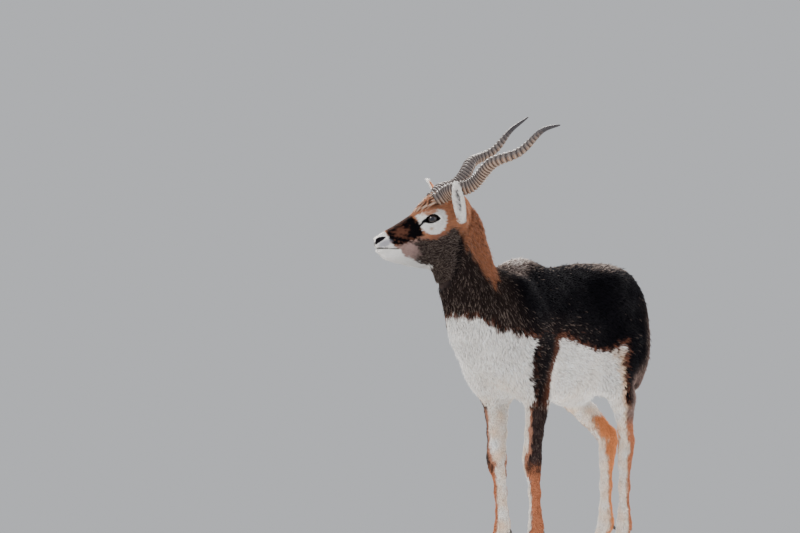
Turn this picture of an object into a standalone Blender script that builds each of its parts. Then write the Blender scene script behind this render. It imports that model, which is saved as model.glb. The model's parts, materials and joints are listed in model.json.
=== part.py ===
"""Life-size model of a standing male blackbuck, looking over its right shoulder.

Metres, +Z up. The body runs along Y with the chest towards -Y, and +X is the
animal's left. Flesh is one smooth field of sections and limbs, meshed region
by region and parted by flat cuts 0.3 mm wide. Horns, ears, eyes, lids and
hooves are built as their own pieces.
"""

import math

import bmesh
import bpy
import numpy as np
from mathutils import Matrix, Vector

# Driving sizes of the whole animal
GAP = 0.0003            # width of the cut between touching nodes
CAST = 0.00015          # half of that cut
WITHERS_HEIGHT = 0.802
HEAD_TURN = math.radians(42)    # the head looks this far to the animal's right
HEAD_PITCH = math.radians(19.3)  # the muzzle points this far below level
ATLAS = Vector((-0.020, -0.255, 0.920))  # where the skull meets the neck
HEAD_REACH = 0.2389      # from the atlas to the front of the muzzle

# Eyes, horns and ears, all in the head's own frame: s back from the muzzle,
# x to the head's left, v up
EYE_AT = Vector((0.1620, 0.0385, 0.0140))
EYE_RADIUS = 0.0175
LID_THICKNESS = 0.0021
HORN_ROOT = Vector((0.2095, 0.0273, 0.0590))
HORN_REACH = Vector((0.146, 0.3417, 0.1032))  # from root to tip: x, s, v
HORN_SWING = 0.0130      # radius of the twist
HORN_START = -1.656      # where round the axis the twist starts
HORN_TURNS = 2.36
HORN_BOW = Vector((0.0261, 0, -0.0039))
HORN_TIP = {1: Vector((-0.0012, -0.0101, -0.0156)),  # how far each tip bends off
            -1: Vector((0.0016, 0.0083, 0.0059))}
HORN_ROOT_RADIUS = 0.0205
HORN_RINGS = 25
HORN_RINGED = 0.84       # share of the horn that carries ridges
EAR_ROOT = {1: Vector((0.0480, 0.2340, -0.0195)),  # x, s, v; the near ear hangs lower
            -1: Vector((-0.0480, 0.2300, -0.0080))}
EAR_LENGTH = 0.136

# Where the torso is parted from what grows from it
FORELEG_CUT = 0.412      # height of the flat cut below the chest
NECK_CUT_TOP = Vector((0, -0.086, 0.780))
NECK_CUT_NORMAL = Vector((0, -0.447, 0.894)).normalized()
HEAD_CUT_AT = Vector((0, 0.172, -0.118))  # just behind the jaw: x, s, v
HEAD_CUT_NORMAL = Vector((0, 0.762, -0.647))
HIND_CUT_AT = Vector((0, 0.31, 0.412))
HIND_CUT_NORMAL = Vector((0, -0.30, 0.95)).normalized()
TAIL_CUT_Y = 0.560
KNEE_CUT = 0.262
HOCK_CUT = 0.300
CORONET = 0.036          # top of the hooves


def clear_scene():
    for obj in list(bpy.data.objects):
        bpy.data.objects.remove(obj, do_unlink=True)


def material(name, colour, roughness):
    made = bpy.data.materials.new(name)
    made.use_nodes = True
    shader = made.node_tree.nodes["Principled BSDF"]
    shader.inputs["Base Color"].default_value = (*colour, 1)
    shader.inputs["Roughness"].default_value = roughness
    return made


# Field helpers. A field is negative inside the flesh and near a distance.

def blend(a, b, reach):
    """Smooth union of two fields over the distance reach."""
    h = np.maximum(reach - np.abs(a - b), 0) / reach
    return np.minimum(a, b) - h * h * reach / 4


def carve(a, b, reach):
    """Field a with field b cut out of it, with a soft edge."""
    return -blend(-a, b, reach)


def limb(points, start, end, r0, r1, flat=1.0):
    """Tapering rod between two points, its width along X times flat."""
    squeeze = np.array((1 / flat, 1, 1))
    a = np.array(start) * squeeze
    b = np.array(end) * squeeze
    p = points * squeeze
    along = b - a
    t = np.clip((p - a) @ along / (along @ along), 0, 1)
    away = np.linalg.norm(p - a - t[..., None] * along, axis=-1)
    return (away - (r0 + (r1 - r0) * t)) * min(flat, 1.0)


def chain(points, stations, reach):
    """Rods through (x, y, z, half depth, half width) stations, blended."""
    field = None
    for a, b in zip(stations, stations[1:]):
        flat = (a[4] / a[3] + b[4] / b[3]) / 2
        rod = limb(points, a[:3], b[:3], a[3], b[3], flat)
        field = rod if field is None else blend(field, rod, reach)
    return field


def muscle(points, centre, radii, tilt=0.0, yaw=0.0):
    """Ellipsoid, tilted about X and then turned about Z."""
    turn = Matrix.Rotation(yaw, 3, "Z") @ Matrix.Rotation(tilt, 3, "X")
    local = (points - np.array(centre)) @ np.array(turn)
    scaled = local / np.array(radii)
    k0 = np.linalg.norm(scaled, axis=-1)
    k1 = np.linalg.norm(scaled / np.array(radii), axis=-1)
    return k0 * (k0 - 1) / np.maximum(k1, 1e-6)


def smooth_table(at, stations, column):
    """Cubic reading of one column of a table whose first column is place."""
    xs = np.array([row[0] for row in stations])
    ys = np.array([row[column] for row in stations])
    slope = np.gradient(ys, xs)
    at = np.clip(at, xs[0], xs[-1])
    i = np.clip(np.searchsorted(xs, at) - 1, 0, len(xs) - 2)
    h = xs[i + 1] - xs[i]
    t = (at - xs[i]) / h
    return ((2 * t**3 - 3 * t**2 + 1) * ys[i] + (t**3 - 2 * t**2 + t) * h * slope[i]
            + (3 * t**2 - 2 * t**3) * ys[i + 1] + (t**3 - t**2) * h * slope[i + 1])


def sections(along, side, up, stations, crown=2.0, keel=2.0, waist=0.5):
    """Body of (place, top, bottom, half width) sections; crown and keel
    say how square the upper and lower halves are."""
    top = smooth_table(along, stations, 1)
    bottom = smooth_table(along, stations, 2)
    width = np.maximum(smooth_table(along, stations, 3), 1e-3)
    middle = bottom + waist * (top - bottom)
    height = np.where(up > middle, top - middle, middle - bottom)
    power = np.where(up > middle, crown, keel)
    ratio = (np.abs(side / width) ** power
             + np.abs((up - middle) / height) ** power) ** (1 / power)
    inside = (ratio - 1) * np.minimum(width, height)
    beyond = np.maximum(stations[0][0] - along, along - stations[-1][0])
    return np.where(beyond > 0, np.hypot(np.maximum(inside, 0), beyond)
                    + np.minimum(inside, 0) * 0.2, inside)


# Torso and neck

TORSO = (  # (y, back line, belly line, half width)
    (-0.235, 0.665, 0.610, 0.030),
    (-0.205, 0.700, 0.562, 0.062),
    (-0.150, 0.738, 0.507, 0.086),
    (-0.090, 0.771, 0.464, 0.100),
    (-0.030, 0.794, 0.443, 0.102),
    (0.020, WITHERS_HEIGHT, 0.434, 0.103),
    (0.080, 0.794, 0.428, 0.106),
    (0.145, 0.781, 0.424, 0.108),
    (0.230, 0.784, 0.421, 0.109),
    (0.320, 0.791, 0.427, 0.106),
    (0.400, 0.789, 0.447, 0.100),
    (0.465, 0.784, 0.485, 0.092),
    (0.515, 0.758, 0.530, 0.078),
    (0.550, 0.712, 0.590, 0.046),
)
NECK = (  # (z, nape, throat, half width)
    (0.520, 0.040, -0.170, 0.062),
    (0.560, 0.045, -0.212, 0.078),
    (0.600, 0.035, -0.243, 0.087),
    (0.640, 0.005, -0.272, 0.091),
    (0.700, -0.048, -0.302, 0.085),
    (0.743, -0.087, -0.331, 0.077),
    (0.783, -0.130, -0.346, 0.068),
    (0.818, -0.139, -0.322, 0.060),
    (0.853, -0.153, -0.299, 0.053),
    (0.900, -0.164, -0.274, 0.044),
    (0.940, -0.198, -0.262, 0.034),
    (0.962, -0.224, -0.262, 0.026),
    (0.976, -0.244, -0.263, 0.014),
)
NECK_LEAN = ((0.66, 0.0), (0.78, -0.007), (0.90, -0.018), (0.95, -0.022))


def torso_field(p):
    side, along, up = p[..., 0], p[..., 1], p[..., 2]
    field = sections(along, side, up, TORSO, crown=1.9, keel=2.3, waist=0.47)
    for s in (1, -1):
        shoulder = muscle(p, (s * 0.066, -0.062, 0.600), (0.050, 0.088, 0.158), 0.32)
        arm = muscle(p, (s * 0.067, -0.038, 0.514), (0.040, 0.069, 0.069), -0.5)
        field = blend(field, blend(shoulder, arm, 0.03), 0.040)
        haunch = muscle(p, (s * 0.060, 0.437, 0.615), (0.056, 0.108, 0.148), 0.12)
        buttock = muscle(p, (s * 0.052, 0.490, 0.560), (0.044, 0.052, 0.115), 0.25)
        hip = muscle(p, (s * 0.066, 0.365, 0.700), (0.048, 0.080, 0.062))
        thigh = blend(haunch, buttock, 0.03)
        field = blend(field, blend(thigh, hip, 0.04), 0.045)
    sheath = limb(p, (0, 0.245, 0.432), (0, 0.330, 0.440), 0.016, 0.022)
    scrotum = muscle(p, (0, 0.440, 0.470), (0.026, 0.026, 0.036))
    field = blend(field, sheath, 0.03)
    return blend(field, scrotum, 0.02)


def neck_field(p):
    z = p[..., 2]
    xs = [row[0] for row in NECK_LEAN]
    lean = np.interp(z, xs, [row[1] for row in NECK_LEAN])
    return sections(z, p[..., 0] - lean, p[..., 1], NECK, crown=2.0, keel=2.1)


# Legs. Each station is (x, y, z, half depth, half width), x as on the left.

FORELEG = (
    (0.066, -0.020, 0.500, 0.052, 0.036),
    (0.070, 0.006, 0.440, 0.045, 0.029),
    (0.067, 0.003, 0.390, 0.036, 0.0245),
    (0.064, -0.003, 0.340, 0.0295, 0.0215),
    (0.062, -0.008, 0.300, 0.0255, 0.0220),
    (0.062, -0.011, 0.272, 0.0255, 0.0235),
    (0.062, -0.009, 0.250, 0.0225, 0.0210),
    (0.061, -0.001, 0.228, 0.0180, 0.0165),
    (0.061, 0.006, 0.180, 0.0165, 0.0145),
    (0.060, 0.012, 0.128, 0.0162, 0.0142),
    (0.060, 0.016, 0.100, 0.0190, 0.0165),
    (0.060, 0.015, 0.084, 0.0198, 0.0180),
    (0.060, 0.002, 0.061, 0.0165, 0.0160),
    (0.060, -0.008, CORONET + 0.003, 0.0188, 0.0180),
)
HINDLEG = (
    (0.072, 0.425, 0.560, 0.085, 0.048),
    (0.084, 0.378, 0.475, 0.053, 0.038),
    (0.082, 0.408, 0.430, 0.0440, 0.0310),
    (0.074, 0.430, 0.385, 0.0300, 0.0230),
    (0.066, 0.458, 0.343, 0.0240, 0.0185),
    (0.062, 0.478, 0.312, 0.0245, 0.0190),
    (0.061, 0.474, 0.282, 0.0215, 0.0178),
    (0.060, 0.470, 0.250, 0.0178, 0.0150),
    (0.060, 0.467, 0.190, 0.0160, 0.0132),
    (0.060, 0.465, 0.128, 0.0158, 0.0130),
    (0.060, 0.466, 0.100, 0.0185, 0.0155),
    (0.060, 0.465, 0.084, 0.0195, 0.0172),
    (0.060, 0.452, 0.061, 0.0162, 0.0155),
    (0.060, 0.442, CORONET + 0.003, 0.0185, 0.0175),
)
HEEL_BONE = ((0.062, 0.478, 0.305), (0.062, 0.5015, 0.3375))  # rod of the hock
# Each leg's stance: side, how far its foot and its knee or hock stand back of
# the stations above, and how far the toes turn out
STANCE = {
    "foreleg_left": (1, 0.000, 0.000, math.radians(6)),
    "foreleg_right": (-1, 0.006, 0.020, math.radians(12)),
    "hindleg_left": (1, 0.000, 0.000, math.radians(12)),
    "hindleg_right": (-1, 0.082, 0.075, math.radians(20)),
}


def step_back(name, z):
    """How far a leg's stations move back at height z."""
    _, foot, joint, _ = STANCE[name]
    fore = name.startswith("fore")
    joint_z, root_z = (0.26, 0.50) if fore else (0.31, 0.50)
    low = foot + (joint - foot) * np.clip(z / joint_z, 0, 1)
    high = joint * np.clip((root_z - z) / (root_z - joint_z), 0, 1)
    return np.where(z < joint_z, low, high)


def to_left_leg(p, name):
    """Points carried into the left leg's own unturned stance."""
    side, _, _, turn = STANCE[name]
    stations = FORELEG if name.startswith("fore") else HINDLEG
    foot = np.array(stations[-1][:2])
    q = p.copy()
    q[..., 0] *= side
    q[..., 1] -= step_back(name, p[..., 2])
    fade = np.clip((0.46 - q[..., 2]) / 0.12, 0, 1)
    angle = -turn * fade
    dx, dy = q[..., 0] - foot[0], q[..., 1] - foot[1]
    q[..., 0] = foot[0] + dx * np.cos(angle) - dy * np.sin(angle)
    q[..., 1] = foot[1] + dx * np.sin(angle) + dy * np.cos(angle)
    return q


def from_left_leg(point, name):
    """A point of the left leg's unturned stance, set where the leg stands."""
    side, _, _, turn = STANCE[name]
    stations = FORELEG if name.startswith("fore") else HINDLEG
    foot = Vector((*stations[-1][:2], 0))
    turned = Matrix.Rotation(turn, 3, "Z") @ (Vector(point) - foot) + foot
    back = float(step_back(name, turned.z))
    return Vector((side * turned.x, turned.y + back, turned.z))


def leg_field(p, name):
    q = to_left_leg(p, name)
    if name.startswith("fore"):
        field = chain(q, FORELEG, 0.010)
        pad = muscle(q, (0.062, 0.010, 0.268), (0.011, 0.013, 0.016))
        return blend(field, pad, 0.010)
    field = chain(q, HINDLEG, 0.012)
    hock = limb(q, HEEL_BONE[0], HEEL_BONE[1], 0.0165, 0.0110, 0.8)
    cord = limb(q, HEEL_BONE[1], (0.072, 0.462, 0.400), 0.0085, 0.0160, 0.7)
    return blend(field, blend(hock, cord, 0.008), 0.012)


def tail_field(p):
    stations = (
        (0, 0.520, 0.735, 0.026, 0.026),
        (0, 0.564, 0.716, 0.0165, 0.0175),
        (0, 0.586, 0.676, 0.0130, 0.0165),
        (0, 0.592, 0.628, 0.0125, 0.0160),
        (0, 0.589, 0.583, 0.0085, 0.0110),
        (0, 0.586, 0.560, 0.0035, 0.0045),
    )
    return chain(p, stations, 0.010)


# Head. Its frame has s running back from the muzzle, x left and v up.

FACE = (  # (s, profile, palate, half width)
    (0.000, 0.0035, -0.0130, 0.0095),
    (0.004, 0.0115, -0.0200, 0.0165),
    (0.014, 0.0185, -0.0270, 0.0225),
    (0.034, 0.0245, -0.0320, 0.0265),
    (0.066, 0.0300, -0.0480, 0.0300),
    (0.100, 0.0375, -0.0600, 0.0350),
    (0.124, 0.0445, -0.0660, 0.0405),
    (0.140, 0.0545, -0.0700, 0.0445),
    (0.160, 0.0650, -0.0740, 0.0480),
    (0.190, 0.0725, -0.0780, 0.0490),
    (0.215, 0.0700, -0.0780, 0.0490),
    (0.240, 0.0590, -0.0740, 0.0480),
    (0.262, 0.0400, -0.0640, 0.0440),
)
JAW = (  # (s, gum line, chin line, half width)
    (0.004, -0.0240, -0.0330, 0.0100),
    (0.010, -0.0230, -0.0440, 0.0165),
    (0.024, -0.0250, -0.0560, 0.0205),
    (0.055, -0.0300, -0.0760, 0.0240),
    (0.090, -0.0360, -0.0965, 0.0300),
    (0.126, -0.0400, -0.1110, 0.0375),
    (0.165, -0.0400, -0.1150, 0.0420),
    (0.205, -0.0400, -0.1070, 0.0440),
    (0.240, -0.0400, -0.0900, 0.0420),
)


def head_matrix():
    """Head frame to world: columns are x, s and v."""
    forward = Vector((-math.sin(HEAD_TURN), -math.cos(HEAD_TURN), 0))
    left = Vector((math.cos(HEAD_TURN), -math.sin(HEAD_TURN), 0))
    nose = forward * math.cos(HEAD_PITCH) - Vector((0, 0, math.sin(HEAD_PITCH)))
    up = forward * math.sin(HEAD_PITCH) + Vector((0, 0, math.cos(HEAD_PITCH)))
    tip = ATLAS + nose * HEAD_REACH
    frame = Matrix((left, -nose, up)).transposed().to_4x4()
    return Matrix.Translation(tip) @ frame


HEAD = head_matrix()


def on_head(s, x, v):
    return HEAD @ Vector((x, s, v))


def skull_field(h):
    """The head in its own frame, h = (x, s, v)."""
    x, s, v = h[..., 0], h[..., 1], h[..., 2]
    face = sections(s, x, v, FACE, crown=2.1, keel=2.4, waist=0.52)
    jaw = sections(s, x, v, JAW, crown=2.6, keel=2.1, waist=0.55)
    field = blend(face, jaw, 0.010)
    for side in (1, -1):
        cheek = muscle(h, (side * 0.030, 0.196, -0.048), (0.024, 0.050, 0.046))
        brow = muscle(h, (side * 0.0385, 0.168, 0.0345), (0.0140, 0.0270, 0.0110))
        eye = (side * EYE_AT.y, EYE_AT.x, EYE_AT.z)
        orbit = muscle(h, eye, (0.0192, 0.0275, 0.0225))
        under = muscle(h, (side * 0.0340, 0.136, -0.0120), (0.0120, 0.0340, 0.0160))
        field = blend(field, cheek, 0.022)
        field = blend(field, orbit, 0.014)
        field = blend(field, brow, 0.010)
        field = blend(field, under, 0.016)
        root = Vector((side * HORN_ROOT.y, HORN_ROOT.x, HORN_ROOT.z))
        axis = horn_axis(side)
        pedicle = limb(h, root - axis * 0.022, root + axis * 0.003, 0.0180, 0.0225)
        field = blend(field, pedicle, 0.012)
        ear_butt = limb(h, (side * 0.034, 0.228, -0.020), ear_root(side), 0.0190, 0.0165)
        field = blend(field, ear_butt, 0.014)
        wing = muscle(h, (side * 0.0150, 0.0135, 0.0065), (0.0085, 0.0130, 0.0115))
        field = blend(field, wing, 0.006)
        lip = muscle(h, (side * 0.0130, 0.0240, -0.0200), (0.0135, 0.0260, 0.0070))
        field = blend(field, lip, 0.008)
        out = eye_outward(side)
        opening = Vector(eye) + out * 0.0130
        almond = muscle(h, opening, (0.0140, 0.0165, 0.0098), yaw=-side * 0.20)
        field = carve(field, almond, 0.0020)
        nostril = limb(h, (side * 0.0100, -0.002, 0.0020),
                       (side * 0.0215, 0.0190, 0.0110), 0.0026, 0.0046)
        field = carve(field, nostril, 0.003)
        gland = limb(h, (side * 0.0440, 0.108, 0.0010),
                     (side * 0.0465, 0.128, 0.0060), 0.0028, 0.0034)
        field = carve(field, gland, 0.004)
    mouth = mouth_groove(h)
    return carve(field, mouth, 0.0025)


def mouth_groove(h):
    """Line of the mouth, round the front of the muzzle to both corners."""
    field = None
    for side in (1, -1):
        line = ((0.000, 0.002, -0.0235), (side * 0.0150, 0.006, -0.0245),
                (side * 0.0235, 0.026, -0.0270), (side * 0.0295, 0.050, -0.0325))
        for a, b in zip(line, line[1:]):
            rod = limb(h, a, b, 0.0026, 0.0026)
            field = rod if field is None else np.minimum(field, rod)
    return field


def ear_root(side):
    return EAR_ROOT[side]


def head_field(p):
    inverse = np.array(HEAD.inverted())
    h = p @ inverse[:3, :3].T + inverse[:3, 3]
    return skull_field(h)


# Meshing a field

def surface_net(field, low, high, step, place=None):
    """Quad mesh of the field's zero surface inside a box."""
    axes = [np.arange(a, b + step, step) for a, b in zip(low, high)]
    grid = np.stack(np.meshgrid(*axes, indexing="ij"), axis=-1)
    value = field(grid)
    for axis in range(3):
        edge = [slice(None)] * 3
        for end in (0, -1):
            edge[axis] = end
            value[tuple(edge)] = np.maximum(value[tuple(edge)], step * 0.5)
    inside = value < 0
    count = [n - 1 for n in value.shape]
    total = np.zeros(count)
    spot = np.zeros((*count, 3))
    for axis in range(3):
        others = [a for a in range(3) if a != axis]
        for da in (0, 1):
            for db in (0, 1):
                first = [slice(0, n) for n in count]
                for other, d in zip(others, (da, db)):
                    first[other] = slice(d, count[other] + d)
                second = list(first)
                second[axis] = slice(1, count[axis] + 1)
                a, b = value[tuple(first)], value[tuple(second)]
                crosses = (a < 0) != (b < 0)
                t = np.where(crosses, a / np.where(crosses, a - b, 1), 0)
                total += crosses
                spot[..., axis] += np.where(crosses, t, 0)
                for other, d in zip(others, (da, db)):
                    spot[..., other] += np.where(crosses, d, 0)
    active = total > 0
    number = np.full(count, -1)
    number[active] = np.arange(active.sum())
    corner = np.argwhere(active)
    verts = np.array(low) + (corner + spot[active] / total[active][:, None]) * step
    faces = []
    for axis in range(3):
        u, w = (axis + 1) % 3, (axis + 2) % 3
        first = [slice(0, n) for n in count]
        first[u] = slice(1, count[u])
        first[w] = slice(1, count[w])
        second = list(first)
        second[axis] = slice(1, count[axis] + 1)
        change = inside[tuple(first)] != inside[tuple(second)]
        cell = np.argwhere(change)
        cell[:, u] += 1
        cell[:, w] += 1
        leaving = inside[tuple(first)][change]
        ring = []
        for du, dw in ((-1, -1), (0, -1), (0, 0), (-1, 0)):
            c = cell.copy()
            c[:, u] += du
            c[:, w] += dw
            ring.append(number[c[:, 0], c[:, 1], c[:, 2]])
        quad = np.stack(ring, axis=1)
        quad[~leaving] = quad[~leaving][:, ::-1]
        faces.append(quad)
    if place is not None:
        m = np.array(place)
        verts = verts @ m[:3, :3].T + m[:3, 3]
    return verts, np.concatenate(faces)


def make_object(name, verts, faces, finish):
    mesh = bpy.data.meshes.new(name)
    mesh.from_pydata([tuple(v) for v in verts], [], [tuple(f) for f in faces])
    mesh.update()
    mesh.materials.append(finish)
    obj = bpy.data.objects.new(name, mesh)
    bpy.context.scene.collection.objects.link(obj)
    return obj


def settle(obj, triangles, rounds=2):
    """Relaxes a field's mesh and brings it down to a number of triangles."""
    bm = bmesh.new()
    bm.from_mesh(obj.data)
    for _ in range(rounds):
        bmesh.ops.smooth_vert(bm, verts=bm.verts, factor=0.5, use_axis_x=True,
                              use_axis_y=True, use_axis_z=True)
    bmesh.ops.triangulate(bm, faces=bm.faces)
    bm.to_mesh(obj.data)
    bm.free()
    count = len(obj.data.polygons)
    if count > triangles:
        thin = obj.modifiers.new("thin", "DECIMATE")
        thin.ratio = triangles / count
        apply_modifiers(obj)
    return heal(obj)


def apply_modifiers(obj):
    graph = bpy.context.evaluated_depsgraph_get()
    made = bpy.data.meshes.new_from_object(obj.evaluated_get(graph))
    obj.modifiers.clear()
    old = obj.data
    obj.data = made
    bpy.data.meshes.remove(old)


def heal(obj):
    """Removes edges shared by more than two faces and closes the holes."""
    bm = bmesh.new()
    bm.from_mesh(obj.data)
    for _ in range(5):
        crowded = [e for e in bm.edges if len(e.link_faces) > 2]
        if not crowded:
            break
        ends = list({v for e in crowded for v in e.verts})
        bmesh.ops.delete(bm, geom=ends, context="VERTS")
        rim = [e for e in bm.edges if e.is_boundary]
        bmesh.ops.holes_fill(bm, edges=rim, sides=0)
        bmesh.ops.triangulate(bm, faces=bm.faces)
    bm.to_mesh(obj.data)
    bm.free()
    return obj


def cut_flat(obj, point, normal):
    """Keeps what lies against the normal and closes the cut flat."""
    bm = bmesh.new()
    bm.from_mesh(obj.data)
    found = bmesh.ops.bisect_plane(
        bm, geom=bm.verts[:] + bm.edges[:] + bm.faces[:], dist=1e-6,
        plane_co=point, plane_no=normal, clear_outer=True)
    rim = [e for e in found["geom_cut"] if isinstance(e, bmesh.types.BMEdge)]
    open_rim = [e for e in rim if e.is_boundary]
    bmesh.ops.holes_fill(bm, edges=open_rim, sides=0)
    bmesh.ops.triangulate(bm, faces=bm.faces)
    bmesh.ops.recalc_face_normals(bm, faces=bm.faces)
    bm.to_mesh(obj.data)
    bm.free()
    return obj


def keep_largest(obj):
    """Drops every loose surface but the largest."""
    bm = bmesh.new()
    bm.from_mesh(obj.data)
    unseen = set(bm.verts)
    groups = []
    while unseen:
        stack = [unseen.pop()]
        group = []
        while stack:
            vert = stack.pop()
            group.append(vert)
            for edge in vert.link_edges:
                other = edge.other_vert(vert)
                if other in unseen:
                    unseen.remove(other)
                    stack.append(other)
        groups.append(group)
    groups.sort(key=len)
    for group in groups[:-1]:
        bmesh.ops.delete(bm, geom=group, context="VERTS")
    bm.to_mesh(obj.data)
    bm.free()
    return obj


def combine(obj, tools, operation):
    """One Boolean of an object with a collection of tools, then applied."""
    group = bpy.data.collections.new("tools")
    for tool in tools:
        for owner in list(tool.users_collection):
            owner.objects.unlink(tool)
        group.objects.link(tool)
    bpy.context.scene.collection.children.link(group)
    cut = obj.modifiers.new("join", "BOOLEAN")
    cut.operation = operation
    cut.operand_type = "COLLECTION"
    cut.collection = group
    cut.solver = "EXACT"
    apply_modifiers(obj)
    for tool in tools:
        bpy.data.objects.remove(tool, do_unlink=True)
    bpy.data.collections.remove(group)
    return keep_largest(obj)


def tube(name, rings, finish):
    """Closed tube through rings of equal count, capped at both ends."""
    count = len(rings[0])
    verts = [p for ring in rings for p in ring]
    faces = []
    for i in range(len(rings) - 1):
        for j in range(count):
            a, b = i * count + j, i * count + (j + 1) % count
            faces.append((a, b, b + count, a + count))
    faces.append(tuple(range(count - 1, -1, -1)))
    last = (len(rings) - 1) * count
    faces.append(tuple(range(last, last + count)))
    obj = make_object(name, verts, faces, finish)
    bm = bmesh.new()
    bm.from_mesh(obj.data)
    bmesh.ops.recalc_face_normals(bm, faces=bm.faces)
    bmesh.ops.triangulate(bm, faces=bm.faces)
    bm.to_mesh(obj.data)
    bm.free()
    return obj


# Flesh nodes

def make_torso(coat):
    def field(p):
        body = blend(torso_field(p), neck_field(p), 0.05)
        for name in STANCE:
            body = blend(body, leg_field(p, name), 0.030)
        return blend(body, tail_field(p), 0.012)

    verts, faces = surface_net(field, (-0.16, -0.35, 0.395), (0.16, 0.610, 0.815), 0.0095)
    obj = settle(make_object("torso", verts, faces, coat), 2900)
    cut_flat(obj, NECK_CUT_TOP - NECK_CUT_NORMAL * CAST, NECK_CUT_NORMAL)
    cut_flat(obj, Vector((0, 0, FORELEG_CUT + CAST)), Vector((0, 0, -1)))
    cut_flat(obj, HIND_CUT_AT + HIND_CUT_NORMAL * CAST, -HIND_CUT_NORMAL)
    cut_flat(obj, Vector((0, TAIL_CUT_Y - CAST, 0)), Vector((0, 1, 0)))
    return keep_largest(obj)


def make_tail(coat):
    def field(p):
        return blend(torso_field(p), tail_field(p), 0.012)

    verts, faces = surface_net(field, (-0.03, 0.546, 0.55), (0.03, 0.62, 0.745), 0.004)
    obj = settle(make_object("tail", verts, faces, coat), 260)
    cut_flat(obj, Vector((0, TAIL_CUT_Y + CAST, 0)), Vector((0, -1, 0)))
    return keep_largest(obj)


def head_cut():
    """Point and backward normal of the cut between head and neck."""
    point = HEAD @ HEAD_CUT_AT
    normal = HEAD.to_3x3() @ HEAD_CUT_NORMAL
    return point, normal.normalized()


def make_neck(coat):
    def field(p):
        return blend(blend(torso_field(p), neck_field(p), 0.05), head_field(p), 0.022)

    verts, faces = surface_net(field, (-0.16, -0.37, 0.66), (0.13, 0.02, 1.01), 0.0070)
    obj = settle(make_object("neck", verts, faces, coat), 2300)
    point, normal = head_cut()
    cut_flat(obj, point + normal * CAST, -normal)
    cut_flat(obj, NECK_CUT_TOP + NECK_CUT_NORMAL * CAST, -NECK_CUT_NORMAL)
    return keep_largest(obj)


def make_leg(name, coat):
    """Upper and lower nodes of one leg, parted at the knee or hock, with
    sockets for the dewclaws."""
    fore = name.startswith("fore")
    joint = KNEE_CUT if fore else HOCK_CUT
    side = STANCE[name][0]

    def field(p):
        return blend(torso_field(p), leg_field(p, name), 0.030)

    near = (0.005, -0.10) if fore else (0.0004, 0.28)
    far = (0.135, 0.13) if fore else (0.165, 0.66)
    top = FORELEG_CUT + 0.012 if fore else 0.56
    low_x, high_x = sorted((side * near[0], side * far[0]))
    for part, bottom, ceiling, count in (
            ("upper", joint - 0.012, top, 420 if fore else 640),
            ("lower", CORONET - 0.008, joint + 0.012, 440)):
        step = 0.0060 if part == "upper" else 0.0042
        verts, faces = surface_net(
            field, (low_x, near[1], bottom), (high_x, far[1], ceiling), step)
        obj = settle(make_object(f"{name}_{part}", verts, faces, coat), count, 1)
        if part == "upper":
            cut_flat(obj, Vector((0, 0, joint + CAST)), Vector((0, 0, -1)))
            if fore:
                cut_flat(obj, Vector((0, 0, FORELEG_CUT - CAST)), Vector((0, 0, 1)))
            else:
                cut_flat(obj, HIND_CUT_AT - HIND_CUT_NORMAL * CAST, HIND_CUT_NORMAL)
        else:
            cut_flat(obj, Vector((0, 0, joint - CAST)), Vector((0, 0, 1)))
            cut_flat(obj, Vector((0, 0, CORONET + CAST)), Vector((0, 0, -1)))
            sockets = [tube("socket", dewclaw_rings(name, k, GAP), coat) for k in (1, -1)]
            combine(obj, sockets, "DIFFERENCE")
        keep_largest(obj)


# Hooves

def make_hooves(name, horn):
    """Two pointed claws and two dew claws for one leg."""
    fore = name.startswith("fore")
    stations = FORELEG if fore else HINDLEG
    foot_x, foot_y = stations[-1][:2]
    length = 0.052 if fore else 0.049
    for k, label in ((1, "outer"), (-1, "inner")):
        claw = []
        for share, height in ((0.0, 0.0), (0.30, 0.011), (0.68, 0.024), (1.0, CORONET - CAST)):
            toe = foot_y - length * (0.72 - 0.36 * share)
            heel = foot_y + length * (0.34 - 0.02 * share)
            half = 0.0088 - 0.0006 * share
            mid = foot_x + k * (half + 0.0010)
            ring = []
            for along, out in ((0.00, 0.10), (0.10, 0.52), (0.34, 0.92), (0.68, 1.0),
                               (0.92, 0.80), (1.0, 0.35)):
                y = toe + (heel - toe) * along
                ring.append((mid + k * half * out, y, height))
            for along, out in ((1.0, -0.35), (0.70, -0.88), (0.34, -0.90), (0.08, -0.45)):
                y = toe + (heel - toe) * along
                ring.append((mid + k * half * out, y, height))
            claw.append([from_left_leg(p, name) for p in ring])
        tube(f"{name}_hoof_{label}", claw, horn)
    for k, label in ((1, "outer"), (-1, "inner")):
        tube(f"{name}_dewclaw_{label}", dewclaw_rings(name, k), horn)


def dewclaw_rings(name, k, grow=0.0):
    """Blunt cone behind the fetlock, its root sunk in the leg."""
    stations = FORELEG if name.startswith("fore") else HINDLEG
    foot_x = stations[-1][0]
    root = Vector((foot_x + k * 0.0095, stations[-3][1] + 0.0100, 0.0850))
    tip = root + Vector((k * 0.0035, 0.0135, -0.0150))
    across = Vector((1, 0, 0))
    over = (tip - root).cross(across).normalized()
    rings = []
    for share, radius in ((-grow * 50, 0.0052), (0.50, 0.0050), (0.85, 0.0036), (1.0, 0.0018)):
        centre = root.lerp(tip, share)
        rings.append([from_left_leg(centre + (across * math.cos(a) + over * math.sin(a))
                                    * (radius + grow), name)
                      for a in np.linspace(0, 2 * math.pi, 8, endpoint=False)])
    return rings


# Horns

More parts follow.
